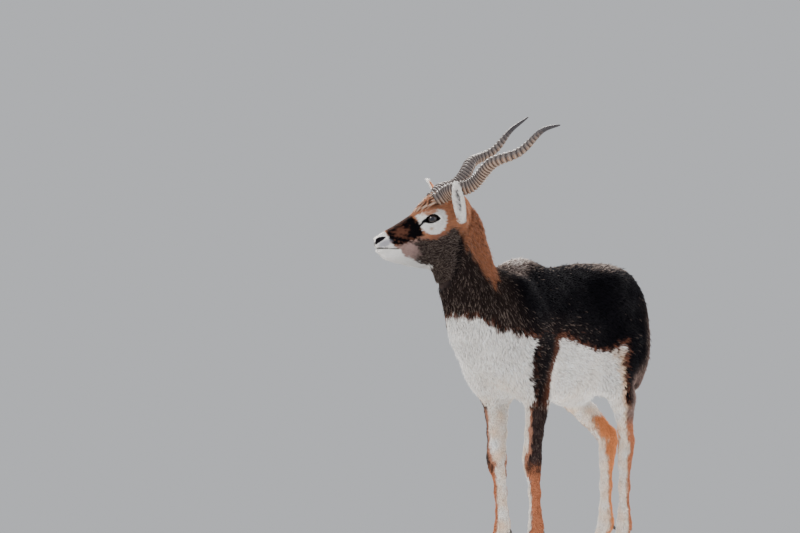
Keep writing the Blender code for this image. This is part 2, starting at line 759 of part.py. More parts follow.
def horn_centre(t, side):
    """Core of a horn: a fading twist round a straight, leaning axis."""
    root = Vector((side * HORN_ROOT.y, HORN_ROOT.x, HORN_ROOT.z))
    reach = Vector((side * HORN_REACH.x, HORN_REACH.y, HORN_REACH.z))
    bow = Vector((side * HORN_BOW.x, HORN_BOW.y, HORN_BOW.z))
    lean = reach.normalized()
    across = Vector((side, 0, 0))
    across = (across - across.dot(lean) * lean).normalized()
    over = lean.cross(across) * side
    swing = HORN_SWING * min(t / 0.18, 1.0) ** 0.7 * (1 - 0.77 * t)
    angle = HORN_START + 2 * math.pi * HORN_TURNS * t
    twist = (across * math.cos(angle) + over * math.sin(angle)) * swing
    tip = HORN_TIP[side] * (max(0.0, t - 0.80) / 0.20) ** 1.6
    return root + reach * t + twist + bow * (4 * t * (1 - t)) + tip


def horn_radius(t):
    return HORN_ROOT_RADIUS * (1 - t) ** 0.62 * (1 - 0.10 * t) + 0.0010


def horn_rings(side, segments, ring_steps, grow=0.0, until=1.0):
    """Cross-sections along a horn, swollen at each ridge."""
    rings = []
    steps = int(HORN_RINGS * ring_steps / HORN_RINGED)
    for i in range(steps + 1):
        t = i / steps
        if t > until:
            break
        centre = horn_centre(t, side)
        ahead = horn_centre(min(t + 0.02, 1.0), side) - horn_centre(max(t - 0.02, 0), side)
        axis = horn_axis(side).lerp(ahead.normalized(), min(t / 0.10, 1.0)).normalized()
        across = Vector((0, 0, 1)).cross(axis).normalized()
        over = axis.cross(across)
        ridge = 0.5 - 0.5 * math.cos(2 * math.pi * (i / ring_steps))
        fade = min(1.0, max(0.0, (HORN_RINGED - t) / 0.10)) * min(1.0, t / 0.02)
        radius = horn_radius(t) * (1 + 0.075 * (ridge - 0.5) * 2 * fade) + grow
        ring = []
        for a in np.linspace(0, 2 * math.pi, segments, endpoint=False):
            point = centre + (across * math.cos(a) + over * math.sin(a)) * radius
            ring.append(HEAD @ point)
        rings.append(ring)
    return rings


def horn_axis(side):
    return Vector((side * 0.20, 0.93, 0.25)).normalized()


def make_horn(name, side, horn):
    rings = horn_rings(side, 12, 2)
    axis = HEAD.to_3x3() @ horn_axis(side)
    sunk = [[p - axis * 0.006 for p in rings[0]]]
    return tube(name, sunk + rings, horn)


def horn_socket(side, finish):
    rings = horn_rings(side, 12, 2, grow=GAP * 1.2, until=0.20)
    axis = HEAD.to_3x3() @ horn_axis(side)
    deep = [p - axis * (0.006 + GAP) for p in rings[0]]
    return tube("socket", [deep] + rings, finish)


# Eyes and lids

def eye_centre(side):
    return on_head(EYE_AT.x, side * EYE_AT.y, EYE_AT.z)


def ball(name, centre, radius, finish):
    bpy.ops.mesh.primitive_uv_sphere_add(segments=16, ring_count=10, radius=radius,
                                         location=centre)
    obj = bpy.context.object
    obj.name = name
    obj.data.name = name
    obj.data.materials.append(finish)
    return obj


def eye_outward(side):
    return Vector((side * 0.95, -0.19, 0.10)).normalized()


def lid_path(side, count=22):
    """Almond rim of the eye's opening, lying on the eyeball."""
    out = eye_outward(side)
    back = Vector((0, 1, 0))
    back = (back - back.dot(out) * out).normalized()
    up = out.cross(back) * (-side)
    if up.z < 0:
        up = -up
    centre = Vector((side * EYE_AT.y, EYE_AT.x, EYE_AT.z))
    points = []
    for a in np.linspace(0, 2 * math.pi, count, endpoint=False):
        along = 0.0158 * math.cos(a)
        rise = 0.0102 * math.sin(a) if math.sin(a) > 0 else 0.0088 * math.sin(a)
        rise += 0.0016 * math.cos(a)
        reach = EYE_RADIUS + 0.0013
        depth = math.sqrt(max(reach**2 - along**2 - rise**2, 1e-8))
        points.append(centre + back * along + up * rise + out * depth)
    return points, out


def make_lid(side, finish):
    """Ring of skin round the eye, thicker along the upper lid."""
    path, out = lid_path(side)
    count = len(path)
    sides = 6
    verts, faces = [], []
    for i, point in enumerate(path):
        along = (path[(i + 1) % count] - path[i - 1]).normalized()
        outward = along.cross(out).normalized()
        lift = outward.cross(along).normalized()
        radius = LID_THICKNESS * (1.15 if i < count / 2 else 0.95)
        for j in range(sides):
            a = 2 * math.pi * j / sides
            verts.append(HEAD @ (point + outward * math.cos(a) * radius * 1.3
                                 + lift * math.sin(a) * radius))
    for i in range(count):
        for j in range(sides):
            a, b = i * sides + j, i * sides + (j + 1) % sides
            c, d = ((i + 1) % count) * sides + (j + 1) % sides, ((i + 1) % count) * sides + j
            faces.append((a, b, c, d))
    obj = make_object("lid", verts, faces, finish)
    bm = bmesh.new()
    bm.from_mesh(obj.data)
    bmesh.ops.recalc_face_normals(bm, faces=bm.faces)
    bm.to_mesh(obj.data)
    bm.free()
    return obj


# Ears

def ear_frame(side):
    """Root, direction of the tip, direction of the cup's mouth."""
    tip = Vector((side * 0.080, -0.004, 0.106)).normalized()
    mouth = Vector((side * 0.48, -0.82, -0.28))
    mouth = (mouth - mouth.dot(tip) * tip).normalized()
    return ear_root(side), tip, mouth, tip.cross(mouth)


def ear_rings(side):
    """Sections of a cupped leaf that starts as a round tube."""
    root, tip, mouth, across = ear_frame(side)
    rings = []
    stations = ((-0.05, 0.0125, 0.0), (0.06, 0.0135, 0.0), (0.16, 0.0155, 0.55), (0.30, 0.0182, 0.85),
                (0.48, 0.0196, 0.80), (0.66, 0.0180, 0.70), (0.82, 0.0138, 0.55),
                (0.93, 0.0086, 0.45), (0.99, 0.0035, 0.30))
    for share, half, cup in stations:
        centre = root + tip * (EAR_LENGTH * share) - mouth * (0.004 * share)
        wall = 0.0016 + 0.0016 * (1 - share)
        wrap = 1.15 - 0.55 * share
        outer, inner = [], []
        for k in range(9):
            a = (k / 8 - 0.5) * 2
            if cup == 0.0:
                theta = a * math.pi / 2
                outer.append(centre + across * half * math.sin(theta)
                             - mouth * half * math.cos(theta))
                inner.append(centre + across * half * math.sin(theta) * 0.98
                             + mouth * half * math.cos(theta))
                continue
            bend = a * wrap
            radius = half / math.sin(min(wrap, 1.45))
            back = centre - mouth * (radius * math.cos(bend) - radius * math.cos(wrap))
            outer.append(back + across * radius * math.sin(bend))
            thick = wall * (1.3 - 0.6 * abs(a))
            fill = (1 - cup) * 0.5 * half * (1 - a * a)
            inner.append(outer[-1] + mouth * (thick * 1.6 + fill)
                         - across * (thick * 0.5 * a))
        rings.append([HEAD @ p for p in outer + inner[::-1]])
    return rings


def make_ear(name, side, coat):
    return tube(name, ear_rings(side), coat)


def ear_socket(side, finish):
    root, tip, mouth, across = ear_frame(side)
    rings = []
    for share, reach in ((-0.055, 0.0), (0.06, 0.0), (0.16, 0.004), (0.60, 0.012)):
        centre = root + tip * (EAR_LENGTH * share)
        radius = 0.0140 + reach
        rings.append([HEAD @ (centre + across * radius * math.sin(a) - mouth * radius * math.cos(a))
                      for a in np.linspace(0, 2 * math.pi, 16, endpoint=False)])
    return tube("ear_socket", rings, finish)


def make_head(coat):
    def field(h):
        m = np.array(HEAD)
        world = h @ m[:3, :3].T + m[:3, 3]
        return blend(skull_field(h), neck_field(world), 0.022)

    verts, faces = surface_net(field, (-0.095, -0.012, -0.150), (0.095, 0.335, 0.110),
                               0.0026, HEAD)
    obj = settle(make_object("head", verts, faces, coat), 2950, 1)
    point, normal = head_cut()
    cut_flat(obj, point - normal * CAST, normal)
    keep_largest(obj)
    combine(obj, [make_lid(s, coat) for s in (1, -1)], "UNION")
    sockets = [ball("hole", eye_centre(s), EYE_RADIUS + GAP * 1.3, coat) for s in (1, -1)]
    sockets += [horn_socket(s, coat) for s in (1, -1)]
    sockets += [ear_socket(s, coat) for s in (1, -1)]
    return combine(obj, sockets, "DIFFERENCE")


def stand_at_origin(nodes):
    """Moves the whole so that its box stands centred on the origin."""
    low = Vector((math.inf,) * 3)
    high = Vector((-math.inf,) * 3)
    for obj in nodes:
        for vert in obj.data.vertices:
            p = obj.matrix_world @ vert.co
            low = Vector(map(min, low, p))
            high = Vector(map(max, high, p))
    shift = Matrix.Translation((-(low.x + high.x) / 2, -(low.y + high.y) / 2, -low.z))
    for obj in nodes:
        obj.data.transform(shift @ obj.matrix_world)
        obj.matrix_world = Matrix.Identity(4)


def main():
    clear_scene()
    coat = material("coat", (0.055, 0.034, 0.024), 0.9)
    pale = material("pale_coat", (0.80, 0.76, 0.70), 0.9)
    tan = material("tan_coat", (0.42, 0.19, 0.08), 0.9)
    horn = material("horn", (0.12, 0.095, 0.075), 0.5)
    hoof = material("hoof", (0.03, 0.026, 0.024), 0.45)
    eye = material("eye", (0.012, 0.008, 0.006), 0.08)
    make_torso(coat)
    make_neck(coat)
    make_tail(coat)
    make_head(tan)
    for name in STANCE:
        make_leg(name, pale)
        make_hooves(name, hoof)
    for side, label in ((1, "left"), (-1, "right")):
        make_horn(f"horn_{label}", side, horn)
        make_ear(f"ear_{label}", side, pale)
        ball(f"eye_{label}", eye_centre(side), EYE_RADIUS, eye)
    bpy.context.view_layer.update()
    nodes = [o for o in bpy.data.objects if o.type == "MESH"]
    stand_at_origin(nodes)
    for obj in nodes:
        obj.data.shade_smooth()


main()
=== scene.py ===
"""Looks of the blackbuck: skin, coat, horns, ears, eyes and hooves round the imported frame."""

import json
import math

import bpy
import numpy as np
from mathutils import Matrix, Vector

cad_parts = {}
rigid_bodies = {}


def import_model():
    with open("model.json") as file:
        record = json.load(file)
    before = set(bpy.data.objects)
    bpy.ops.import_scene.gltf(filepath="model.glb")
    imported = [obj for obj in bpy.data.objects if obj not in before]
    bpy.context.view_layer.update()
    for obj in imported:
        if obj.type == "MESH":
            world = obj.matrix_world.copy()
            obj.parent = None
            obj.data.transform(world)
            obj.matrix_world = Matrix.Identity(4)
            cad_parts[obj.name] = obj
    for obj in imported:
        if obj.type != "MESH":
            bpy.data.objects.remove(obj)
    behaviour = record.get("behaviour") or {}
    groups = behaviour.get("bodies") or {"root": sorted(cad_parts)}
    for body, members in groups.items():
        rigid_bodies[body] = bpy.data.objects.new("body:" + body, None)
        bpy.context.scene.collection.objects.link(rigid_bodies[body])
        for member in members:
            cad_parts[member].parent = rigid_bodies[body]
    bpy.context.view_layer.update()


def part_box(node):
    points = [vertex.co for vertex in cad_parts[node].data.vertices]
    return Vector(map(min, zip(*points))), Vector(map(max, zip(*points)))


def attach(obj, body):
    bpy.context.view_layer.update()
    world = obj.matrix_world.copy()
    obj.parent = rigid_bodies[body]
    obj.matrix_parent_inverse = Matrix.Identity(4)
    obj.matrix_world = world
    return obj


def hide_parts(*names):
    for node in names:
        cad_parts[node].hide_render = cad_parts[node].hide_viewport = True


for default in list(bpy.data.objects):
    bpy.data.objects.remove(default, do_unlink=True)
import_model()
rng = np.random.default_rng(11)

# Shape of the animal, the same sizes as in the solids. Lengths are in metres,
# with the withers over the origin, the chest towards -Y and +X its left.
CORONET = 0.036
HEAD_TURN = math.radians(42)
HEAD_PITCH = math.radians(19.3)
ATLAS = Vector((-0.020, -0.255, 0.920))
HEAD_REACH = 0.2389
HEAD_CUT_AT = np.array((0, 0.172, -0.118))
HEAD_CUT_NORMAL = np.array((0, 0.762, -0.647))
EYE_AT = Vector((0.1620, 0.0385, 0.0140))
EYE_RADIUS = 0.0175
HORN_ROOT = Vector((0.2095, 0.0273, 0.0590))
HORN_REACH = Vector((0.146, 0.3417, 0.1032))
HORN_SWING = 0.0130
HORN_START = -1.656
HORN_TURNS = 2.36
HORN_BOW = Vector((0.0261, 0, -0.0039))
HORN_TIP = {1: Vector((-0.0012, -0.0101, -0.0156)), -1: Vector((0.0016, 0.0083, 0.0059))}
HORN_ROOT_RADIUS = 0.0205
HORN_RINGED = 0.84
HORN_RING_SPACING = ((0.0, 0.0098), (0.12, 0.0080), (0.28, 0.0082), (0.40, 0.0108),
                     (0.52, 0.0138), (0.84, 0.0112))  # at each share of the horn's length
EAR_ROOT = {1: Vector((0.0480, 0.2340, -0.0195)), -1: Vector((-0.0480, 0.2300, -0.0080))}
EAR_LENGTH = 0.136
TORSO = (  # (y, back line, belly line, half width)
    (-0.235, 0.665, 0.610, 0.030),
    (-0.205, 0.700, 0.562, 0.062),
    (-0.150, 0.738, 0.507, 0.086),
    (-0.090, 0.771, 0.464, 0.100),
    (-0.030, 0.794, 0.443, 0.102),
    (0.020, 0.802, 0.434, 0.103),
    (0.080, 0.794, 0.428, 0.106),
    (0.145, 0.781, 0.424, 0.108),
    (0.230, 0.784, 0.421, 0.109),
    (0.320, 0.791, 0.427, 0.106),
    (0.400, 0.789, 0.447, 0.100),
    (0.465, 0.784, 0.485, 0.092),
    (0.515, 0.758, 0.530, 0.078),
    (0.550, 0.712, 0.590, 0.046),
)
NECK = (  # (z, nape, throat, half width)
    (0.520, 0.040, -0.170, 0.062),
    (0.560, 0.045, -0.212, 0.078),
    (0.600, 0.035, -0.243, 0.087),
    (0.640, 0.005, -0.272, 0.091),
    (0.700, -0.048, -0.302, 0.085),
    (0.743, -0.087, -0.331, 0.077),
    (0.783, -0.130, -0.346, 0.068),
    (0.818, -0.139, -0.322, 0.060),
    (0.853, -0.153, -0.299, 0.053),
    (0.900, -0.164, -0.274, 0.044),
    (0.940, -0.198, -0.262, 0.034),
    (0.962, -0.224, -0.262, 0.026),
    (0.976, -0.244, -0.263, 0.014),
)
NECK_LEAN = ((0.66, 0.0), (0.78, -0.007), (0.90, -0.018), (0.95, -0.022))
FORELEG = (  # (x, y, z, half depth, half width)
    (0.066, -0.020, 0.500, 0.052, 0.036),
    (0.070, 0.006, 0.440, 0.045, 0.029),
    (0.067, 0.003, 0.390, 0.036, 0.0245),
    (0.064, -0.003, 0.340, 0.0295, 0.0215),
    (0.062, -0.008, 0.300, 0.0255, 0.0220),
    (0.062, -0.011, 0.272, 0.0255, 0.0235),
    (0.062, -0.009, 0.250, 0.0225, 0.0210),
    (0.061, -0.001, 0.228, 0.0180, 0.0165),
    (0.061, 0.006, 0.180, 0.0165, 0.0145),
    (0.060, 0.012, 0.128, 0.0162, 0.0142),
    (0.060, 0.016, 0.100, 0.0190, 0.0165),
    (0.060, 0.015, 0.084, 0.0198, 0.0180),
    (0.060, 0.002, 0.061, 0.0165, 0.0160),
    (0.060, -0.008, CORONET + 0.003, 0.0188, 0.0180),
)
HINDLEG = (
    (0.072, 0.425, 0.560, 0.085, 0.048),
    (0.084, 0.378, 0.475, 0.053, 0.038),
    (0.082, 0.408, 0.430, 0.0440, 0.0310),
    (0.074, 0.430, 0.385, 0.0300, 0.0230),
    (0.066, 0.458, 0.343, 0.0240, 0.0185),
    (0.062, 0.478, 0.312, 0.0245, 0.0190),
    (0.061, 0.474, 0.282, 0.0215, 0.0178),
    (0.060, 0.470, 0.250, 0.0178, 0.0150),
    (0.060, 0.467, 0.190, 0.0160, 0.0132),
    (0.060, 0.465, 0.128, 0.0158, 0.0130),
    (0.060, 0.466, 0.100, 0.0185, 0.0155),
    (0.060, 0.465, 0.084, 0.0195, 0.0172),
    (0.060, 0.452, 0.061, 0.0162, 0.0155),
    (0.060, 0.442, CORONET + 0.003, 0.0185, 0.0175),
)
HEEL_BONE = ((0.062, 0.478, 0.305), (0.062, 0.5015, 0.3375))
STANCE = {  # side, foot back, joint back, toes out
    "foreleg_left": (1, 0.000, 0.000, math.radians(6)),
    "foreleg_right": (-1, 0.006, 0.020, math.radians(12)),
    "hindleg_left": (1, 0.000, 0.000, math.radians(12)),
    "hindleg_right": (-1, 0.082, 0.075, math.radians(20)),
}
FACE = (  # (s, profile, palate, half width)
    (0.000, 0.0035, -0.0130, 0.0095),
    (0.004, 0.0115, -0.0200, 0.0165),
    (0.014, 0.0185, -0.0270, 0.0225),
    (0.034, 0.0245, -0.0320, 0.0265),
    (0.066, 0.0300, -0.0480, 0.0300),
    (0.100, 0.0375, -0.0600, 0.0350),
    (0.124, 0.0445, -0.0660, 0.0405),
    (0.140, 0.0545, -0.0700, 0.0445),
    (0.160, 0.0650, -0.0740, 0.0480),
    (0.190, 0.0725, -0.0780, 0.0490),
    (0.215, 0.0700, -0.0780, 0.0490),
    (0.240, 0.0590, -0.0740, 0.0480),
    (0.262, 0.0400, -0.0640, 0.0440),
)
JAW = (  # (s, gum line, chin line, half width)
    (0.004, -0.0240, -0.0330, 0.0100),
    (0.010, -0.0230, -0.0440, 0.0165),
    (0.024, -0.0250, -0.0560, 0.0205),
    (0.055, -0.0300, -0.0760, 0.0240),
    (0.090, -0.0360, -0.0965, 0.0300),
    (0.126, -0.0400, -0.1110, 0.0375),
    (0.165, -0.0400, -0.1150, 0.0420),
    (0.205, -0.0400, -0.1070, 0.0440),
    (0.240, -0.0400, -0.0900, 0.0420),
)


def smoothstep(a, b, x):
    t = np.clip((x - a) / (b - a), 0, 1)
    return t * t * (3 - 2 * t)


# Fields, negative inside the flesh

def blend(a, b, reach):
    h = np.maximum(reach - np.abs(a - b), 0) / reach
    return np.minimum(a, b) - h * h * reach / 4


def carve(a, b, reach):
    return -blend(-a, b, reach)


def limb(points, start, end, r0, r1, flat=1.0):
    squeeze = np.array((1 / flat, 1, 1))
    a = np.array(start) * squeeze
    p = points * squeeze - a
    along = np.array(end) * squeeze - a
    t = np.clip(p @ along / (along @ along), 0, 1)
    away = np.linalg.norm(p - t[..., None] * along, axis=-1)
    return (away - (r0 + (r1 - r0) * t)) * min(flat, 1.0)


def chain(points, stations, reach):
    field = None
    for a, b in zip(stations, stations[1:]):
        flat = (a[4] / a[3] + b[4] / b[3]) / 2
        rod = limb(points, a[:3], b[:3], a[3], b[3], flat)
        field = rod if field is None else blend(field, rod, reach)
    return field


def muscle(points, centre, radii, tilt=0.0, yaw=0.0):
    turn = Matrix.Rotation(yaw, 3, "Z") @ Matrix.Rotation(tilt, 3, "X")
    local = (points - np.array(centre)) @ np.array(turn)
    scaled = local / np.array(radii)
    k0 = np.linalg.norm(scaled, axis=-1)
    k1 = np.linalg.norm(scaled / np.array(radii), axis=-1)
    return k0 * (k0 - 1) / np.maximum(k1, 1e-6)


def read_table(at, table):
    return np.interp(at, [row[0] for row in table], [row[1] for row in table])


def smooth_table(at, stations, column):
    xs = np.array([row[0] for row in stations])
    ys = np.array([row[column] for row in stations])
    slope = np.gradient(ys, xs)
    at = np.clip(at, xs[0], xs[-1])
    i = np.clip(np.searchsorted(xs, at) - 1, 0, len(xs) - 2)
    h = xs[i + 1] - xs[i]
    t = (at - xs[i]) / h
    return ((2 * t**3 - 3 * t**2 + 1) * ys[i] + (t**3 - 2 * t**2 + t) * h * slope[i]
            + (3 * t**2 - 2 * t**3) * ys[i + 1] + (t**3 - t**2) * h * slope[i + 1])


def sections(along, side, up, stations, crown=2.0, keel=2.0, waist=0.5):
    top = smooth_table(along, stations, 1)
    bottom = smooth_table(along, stations, 2)
    width = np.maximum(smooth_table(along, stations, 3), 1e-3)
    middle = bottom + waist * (top - bottom)
    height = np.where(up > middle, top - middle, middle - bottom)
    power = np.where(up > middle, crown, keel)
    ratio = (np.abs(side / width) ** power
             + np.abs((up - middle) / height) ** power) ** (1 / power)
    inside = (ratio - 1) * np.minimum(width, height)
    beyond = np.maximum(stations[0][0] - along, along - stations[-1][0])
    return np.where(beyond > 0, np.hypot(np.maximum(inside, 0), beyond)
                    + np.minimum(inside, 0) * 0.2, inside)


def torso_field(p):
    side, along, up = p[..., 0], p[..., 1], p[..., 2]
    field = sections(along, side, up, TORSO, crown=1.9, keel=2.3, waist=0.47)
    for s in (1, -1):
        shoulder = muscle(p, (s * 0.066, -0.062, 0.600), (0.050, 0.088, 0.158), 0.32)
        arm = muscle(p, (s * 0.067, -0.038, 0.514), (0.040, 0.069, 0.069), -0.5)
        field = blend(field, blend(shoulder, arm, 0.03), 0.040)
        haunch = muscle(p, (s * 0.060, 0.437, 0.615), (0.056, 0.108, 0.148), 0.12)
        buttock = muscle(p, (s * 0.052, 0.490, 0.560), (0.044, 0.052, 0.115), 0.25)
        hip = muscle(p, (s * 0.066, 0.365, 0.700), (0.048, 0.080, 0.062))
        thigh = blend(haunch, buttock, 0.03)
        field = blend(field, blend(thigh, hip, 0.04), 0.045)
    sheath = limb(p, (0, 0.245, 0.432), (0, 0.330, 0.440), 0.016, 0.022)
    scrotum = muscle(p, (0, 0.440, 0.470), (0.026, 0.026, 0.036))
    field = blend(field, sheath, 0.03)
    return blend(field, scrotum, 0.02)


def neck_field(p):
    z = p[..., 2]
    lean = read_table(z, NECK_LEAN)
    return sections(z, p[..., 0] - lean, p[..., 1], NECK, crown=2.0, keel=2.1)


def step_back(name, z):
    """How far back a leg stands from its drawn place, at a height."""
    _, foot, joint, _ = STANCE[name]
    joint_z, root_z = (0.26, 0.50) if name.startswith("fore") else (0.31, 0.50)
    low = foot + (joint - foot) * np.clip(z / joint_z, 0, 1)
    high = joint * np.clip((root_z - z) / (root_z - joint_z), 0, 1)
    return np.where(z < joint_z, low, high)


def to_left_leg(p, name):
    """Points of a leg as places on the drawn leg, which stands straight."""
    side, _, _, turn = STANCE[name]
    stations = FORELEG if name.startswith("fore") else HINDLEG
    foot = np.array(stations[-1][:2])
    q = p.copy()
    q[..., 0] *= side
    q[..., 1] -= step_back(name, p[..., 2])
    angle = -turn * np.clip((0.46 - q[..., 2]) / 0.12, 0, 1)
    dx, dy = q[..., 0] - foot[0], q[..., 1] - foot[1]
    q[..., 0] = foot[0] + dx * np.cos(angle) - dy * np.sin(angle)
    q[..., 1] = foot[1] + dx * np.sin(angle) + dy * np.cos(angle)
    return q


def from_left_leg(point, name):
    side, _, _, turn = STANCE[name]
    stations = FORELEG if name.startswith("fore") else HINDLEG
    foot = Vector((*stations[-1][:2], 0))
    turned = Matrix.Rotation(turn, 3, "Z") @ (Vector(point) - foot) + foot
    return Vector((side * turned.x, turned.y + float(step_back(name, turned.z)), turned.z))


def leg_field(p, name):
    q = to_left_leg(p, name)
    if name.startswith("fore"):
        field = chain(q, FORELEG, 0.010)
        pad = muscle(q, (0.062, 0.010, 0.268), (0.011, 0.013, 0.016))
        return blend(field, pad, 0.010)
    field = chain(q, HINDLEG, 0.012)
    hock = limb(q, HEEL_BONE[0], HEEL_BONE[1], 0.0165, 0.0110, 0.8)
    cord = limb(q, HEEL_BONE[1], (0.072, 0.462, 0.400), 0.0085, 0.0160, 0.7)
    return blend(field, blend(hock, cord, 0.008), 0.012)


def tail_field(p):
    stations = (
        (0, 0.520, 0.735, 0.026, 0.026),
        (0, 0.564, 0.716, 0.0165, 0.0175),
        (0, 0.586, 0.676, 0.0130, 0.0165),
        (0, 0.592, 0.628, 0.0125, 0.0160),
        (0, 0.589, 0.583, 0.0085, 0.0110),
        (0, 0.586, 0.560, 0.0035, 0.0045),
    )
    return chain(p, stations, 0.010)


def head_matrix():
    forward = Vector((-math.sin(HEAD_TURN), -math.cos(HEAD_TURN), 0))
    left = Vector((math.cos(HEAD_TURN), -math.sin(HEAD_TURN), 0))
    nose = forward * math.cos(HEAD_PITCH) - Vector((0, 0, math.sin(HEAD_PITCH)))
    up = forward * math.sin(HEAD_PITCH) + Vector((0, 0, math.cos(HEAD_PITCH)))
    tip = ATLAS + nose * HEAD_REACH
    return Matrix.Translation(tip) @ Matrix((left, -nose, up)).transposed().to_4x4()


HEAD = head_matrix()
HEAD_M = np.array(HEAD)
HEAD_INV = np.array(HEAD.inverted())


def to_head(p):
    return p @ HEAD_INV[:3, :3].T + HEAD_INV[:3, 3]


def from_head(h):
    return h @ HEAD_M[:3, :3].T + HEAD_M[:3, 3]


def eye_outward(side):
    return Vector((side * 0.95, -0.19, 0.10)).normalized()


def eye_axes(side):
    """Centre of the eye, and its outward, backward and upward directions."""
    out = eye_outward(side)
    back = Vector((0, 1, 0))
    back = (back - back.dot(out) * out).normalized()
    up = out.cross(back)
    if up.z < 0:
        up = -up
    return mirrored(side, EYE_AT), out, back, up


def eye_rim(side, count=28, lift=0.0008, grow=1.0):
    """Almond edge of the opening on the eyeball, as points and rises."""
    centre, out, back, up = eye_axes(side)
    points = []
    for a in np.linspace(0, 2 * math.pi, count, endpoint=False):
        along = (0.0160 * math.cos(a) - 0.0010) * grow
        rise = (0.0102 if math.sin(a) > 0 else 0.0084) * math.sin(a) * grow
        rise -= 0.0026 * math.cos(a) * grow
        if math.cos(a) < -0.8:
            along *= 1.05
        reach = EYE_RADIUS + lift
        depth = math.sqrt(max(reach**2 - along**2 - rise**2, 4e-6))
        points.append(centre + back * along + up * rise + out * depth)
    return points


MOUTH_LINE = (  # (x, s, v) of the left half
    (0.000, 0.000, -0.0135), (0.0150, 0.005, -0.0128), (0.0240, 0.026, -0.0200),
    (0.0300, 0.054, -0.0313),
)


def mouth_groove(h, radius):
    field = None
    for side in (1, -1):
        line = [np.array(point) * (side, 1, 1) for point in MOUTH_LINE]
        for a, b in zip(line, line[1:]):
            rod = limb(h, a, b, radius, radius)
            field = rod if field is None else np.minimum(field, rod)
    return field


def nostril_slit(h, side):
    front = limb(h, (side * 0.0105, 0.0000, 0.0040), (side * 0.0205, 0.0090, 0.0090), 0.0022,
                 0.0036)
    rear = limb(h, (side * 0.0205, 0.0090, 0.0090), (side * 0.0245, 0.0275, 0.0120), 0.0036,
                0.0016)
    return np.minimum(front, rear)


def mirrored(side, at):
    """Point of one side of the head, from (s, half width, v)."""
    return Vector((side * at.y, at.x, at.z))


def horn_axis(side):
    return Vector((side * 0.20, 0.93, 0.25)).normalized()


def skull_field(h):
    """The head with its lids, lips, nostrils, gland slits and skin folds."""
    x, s, v = h[..., 0], h[..., 1], h[..., 2]
    face = sections(s, x, v, FACE, crown=2.1, keel=2.4, waist=0.52)
    jaw = sections(s, x, v, JAW, crown=2.6, keel=2.1, waist=0.55)
    field = blend(face, jaw, 0.010)
    for side in (1, -1):
        cheek = muscle(h, (side * 0.030, 0.196, -0.048), (0.024, 0.050, 0.046))
        brow = muscle(h, (side * 0.0385, 0.168, 0.0345), (0.0140, 0.0270, 0.0110))
        eye = mirrored(side, EYE_AT)
        orbit = muscle(h, eye, (0.0192, 0.0275, 0.0225))
        under = muscle(h, (side * 0.0340, 0.136, -0.0120), (0.0120, 0.0340, 0.0160))
        field = blend(field, cheek, 0.022)
        field = blend(field, orbit, 0.014)
        field = blend(field, brow, 0.010)
        field = blend(field, under, 0.016)
        root = mirrored(side, HORN_ROOT)
        axis = horn_axis(side)
        pedicle = limb(h, root - axis * 0.026, root - axis * 0.009, 0.0170, 0.0205)
        field = blend(field, pedicle, 0.012)
        ear_butt = limb(h, (side * 0.034, 0.228, -0.020), EAR_ROOT[side], 0.0190, 0.0165)
        field = blend(field, ear_butt, 0.014)
        wing = muscle(h, (side * 0.0150, 0.0135, 0.0065), (0.0085, 0.0130, 0.0115))
        field = blend(field, wing, 0.006)
        lip = muscle(h, (side * 0.0130, 0.0240, -0.0200), (0.0135, 0.0260, 0.0070))
        field = blend(field, lip, 0.008)
        almond = muscle(h, eye + eye_outward(side) * 0.0130,
                        (0.0140, 0.0158, 0.0096), yaw=-side * 0.20)
        field = carve(field, almond, 0.0016)
        near = np.linalg.norm(h - np.array(eye), axis=-1) < 0.034
        local = h[near]
        rim = eye_rim(side, 20, 0.0012)
        edge = None
        for i, point in enumerate(rim):
            radius = 0.0023 if i < 10 else 0.0017
            rod = limb(local, point, rim[(i + 1) % 20], radius, radius)
            edge = rod if edge is None else np.minimum(edge, rod)
        crease = None
        fold = eye_rim(side, 20, 0.0040, 1.36)
        for i in range(1, 9):
            rod = limb(local, fold[i], fold[i + 1], 0.0010, 0.0010)
            crease = rod if crease is None else np.minimum(crease, rod)
        field[near] = carve(blend(field[near], edge, 0.0022), crease, 0.004)
        field = carve(field, nostril_slit(h, side), 0.0020)
        gland = limb(h, (side * 0.0435, 0.112, 0.0020), (side * 0.0470, 0.130, 0.0080),
                     0.0015, 0.0024)
        field = carve(field, gland, 0.004)
    split = limb(h, (0, -0.006, 0.004), (0, 0.002, -0.020), 0.0018, 0.0012)
    field = carve(field, split, 0.003)
    return carve(field, mouth_groove(h, 0.0020), 0.0022)


def from_cut(p):
    """Distance behind the plane between head and neck."""
    return (to_head(p) - HEAD_CUT_AT) @ HEAD_CUT_NORMAL


# Depth of the coat

def coat_depth(p):
    """Thinnest on the face and feet, deepest on the body."""
    z, y = p[..., 2], p[..., 1]
    depth = 0.0015 + 0.0045 * smoothstep(0.26, 0.48, z)
    face = smoothstep(0.02, -0.03, from_cut(p)) * smoothstep(0.60, 0.74, z) * (y < -0.1)
    return depth * (1 - face) + 0.0016 * face


# Meshing

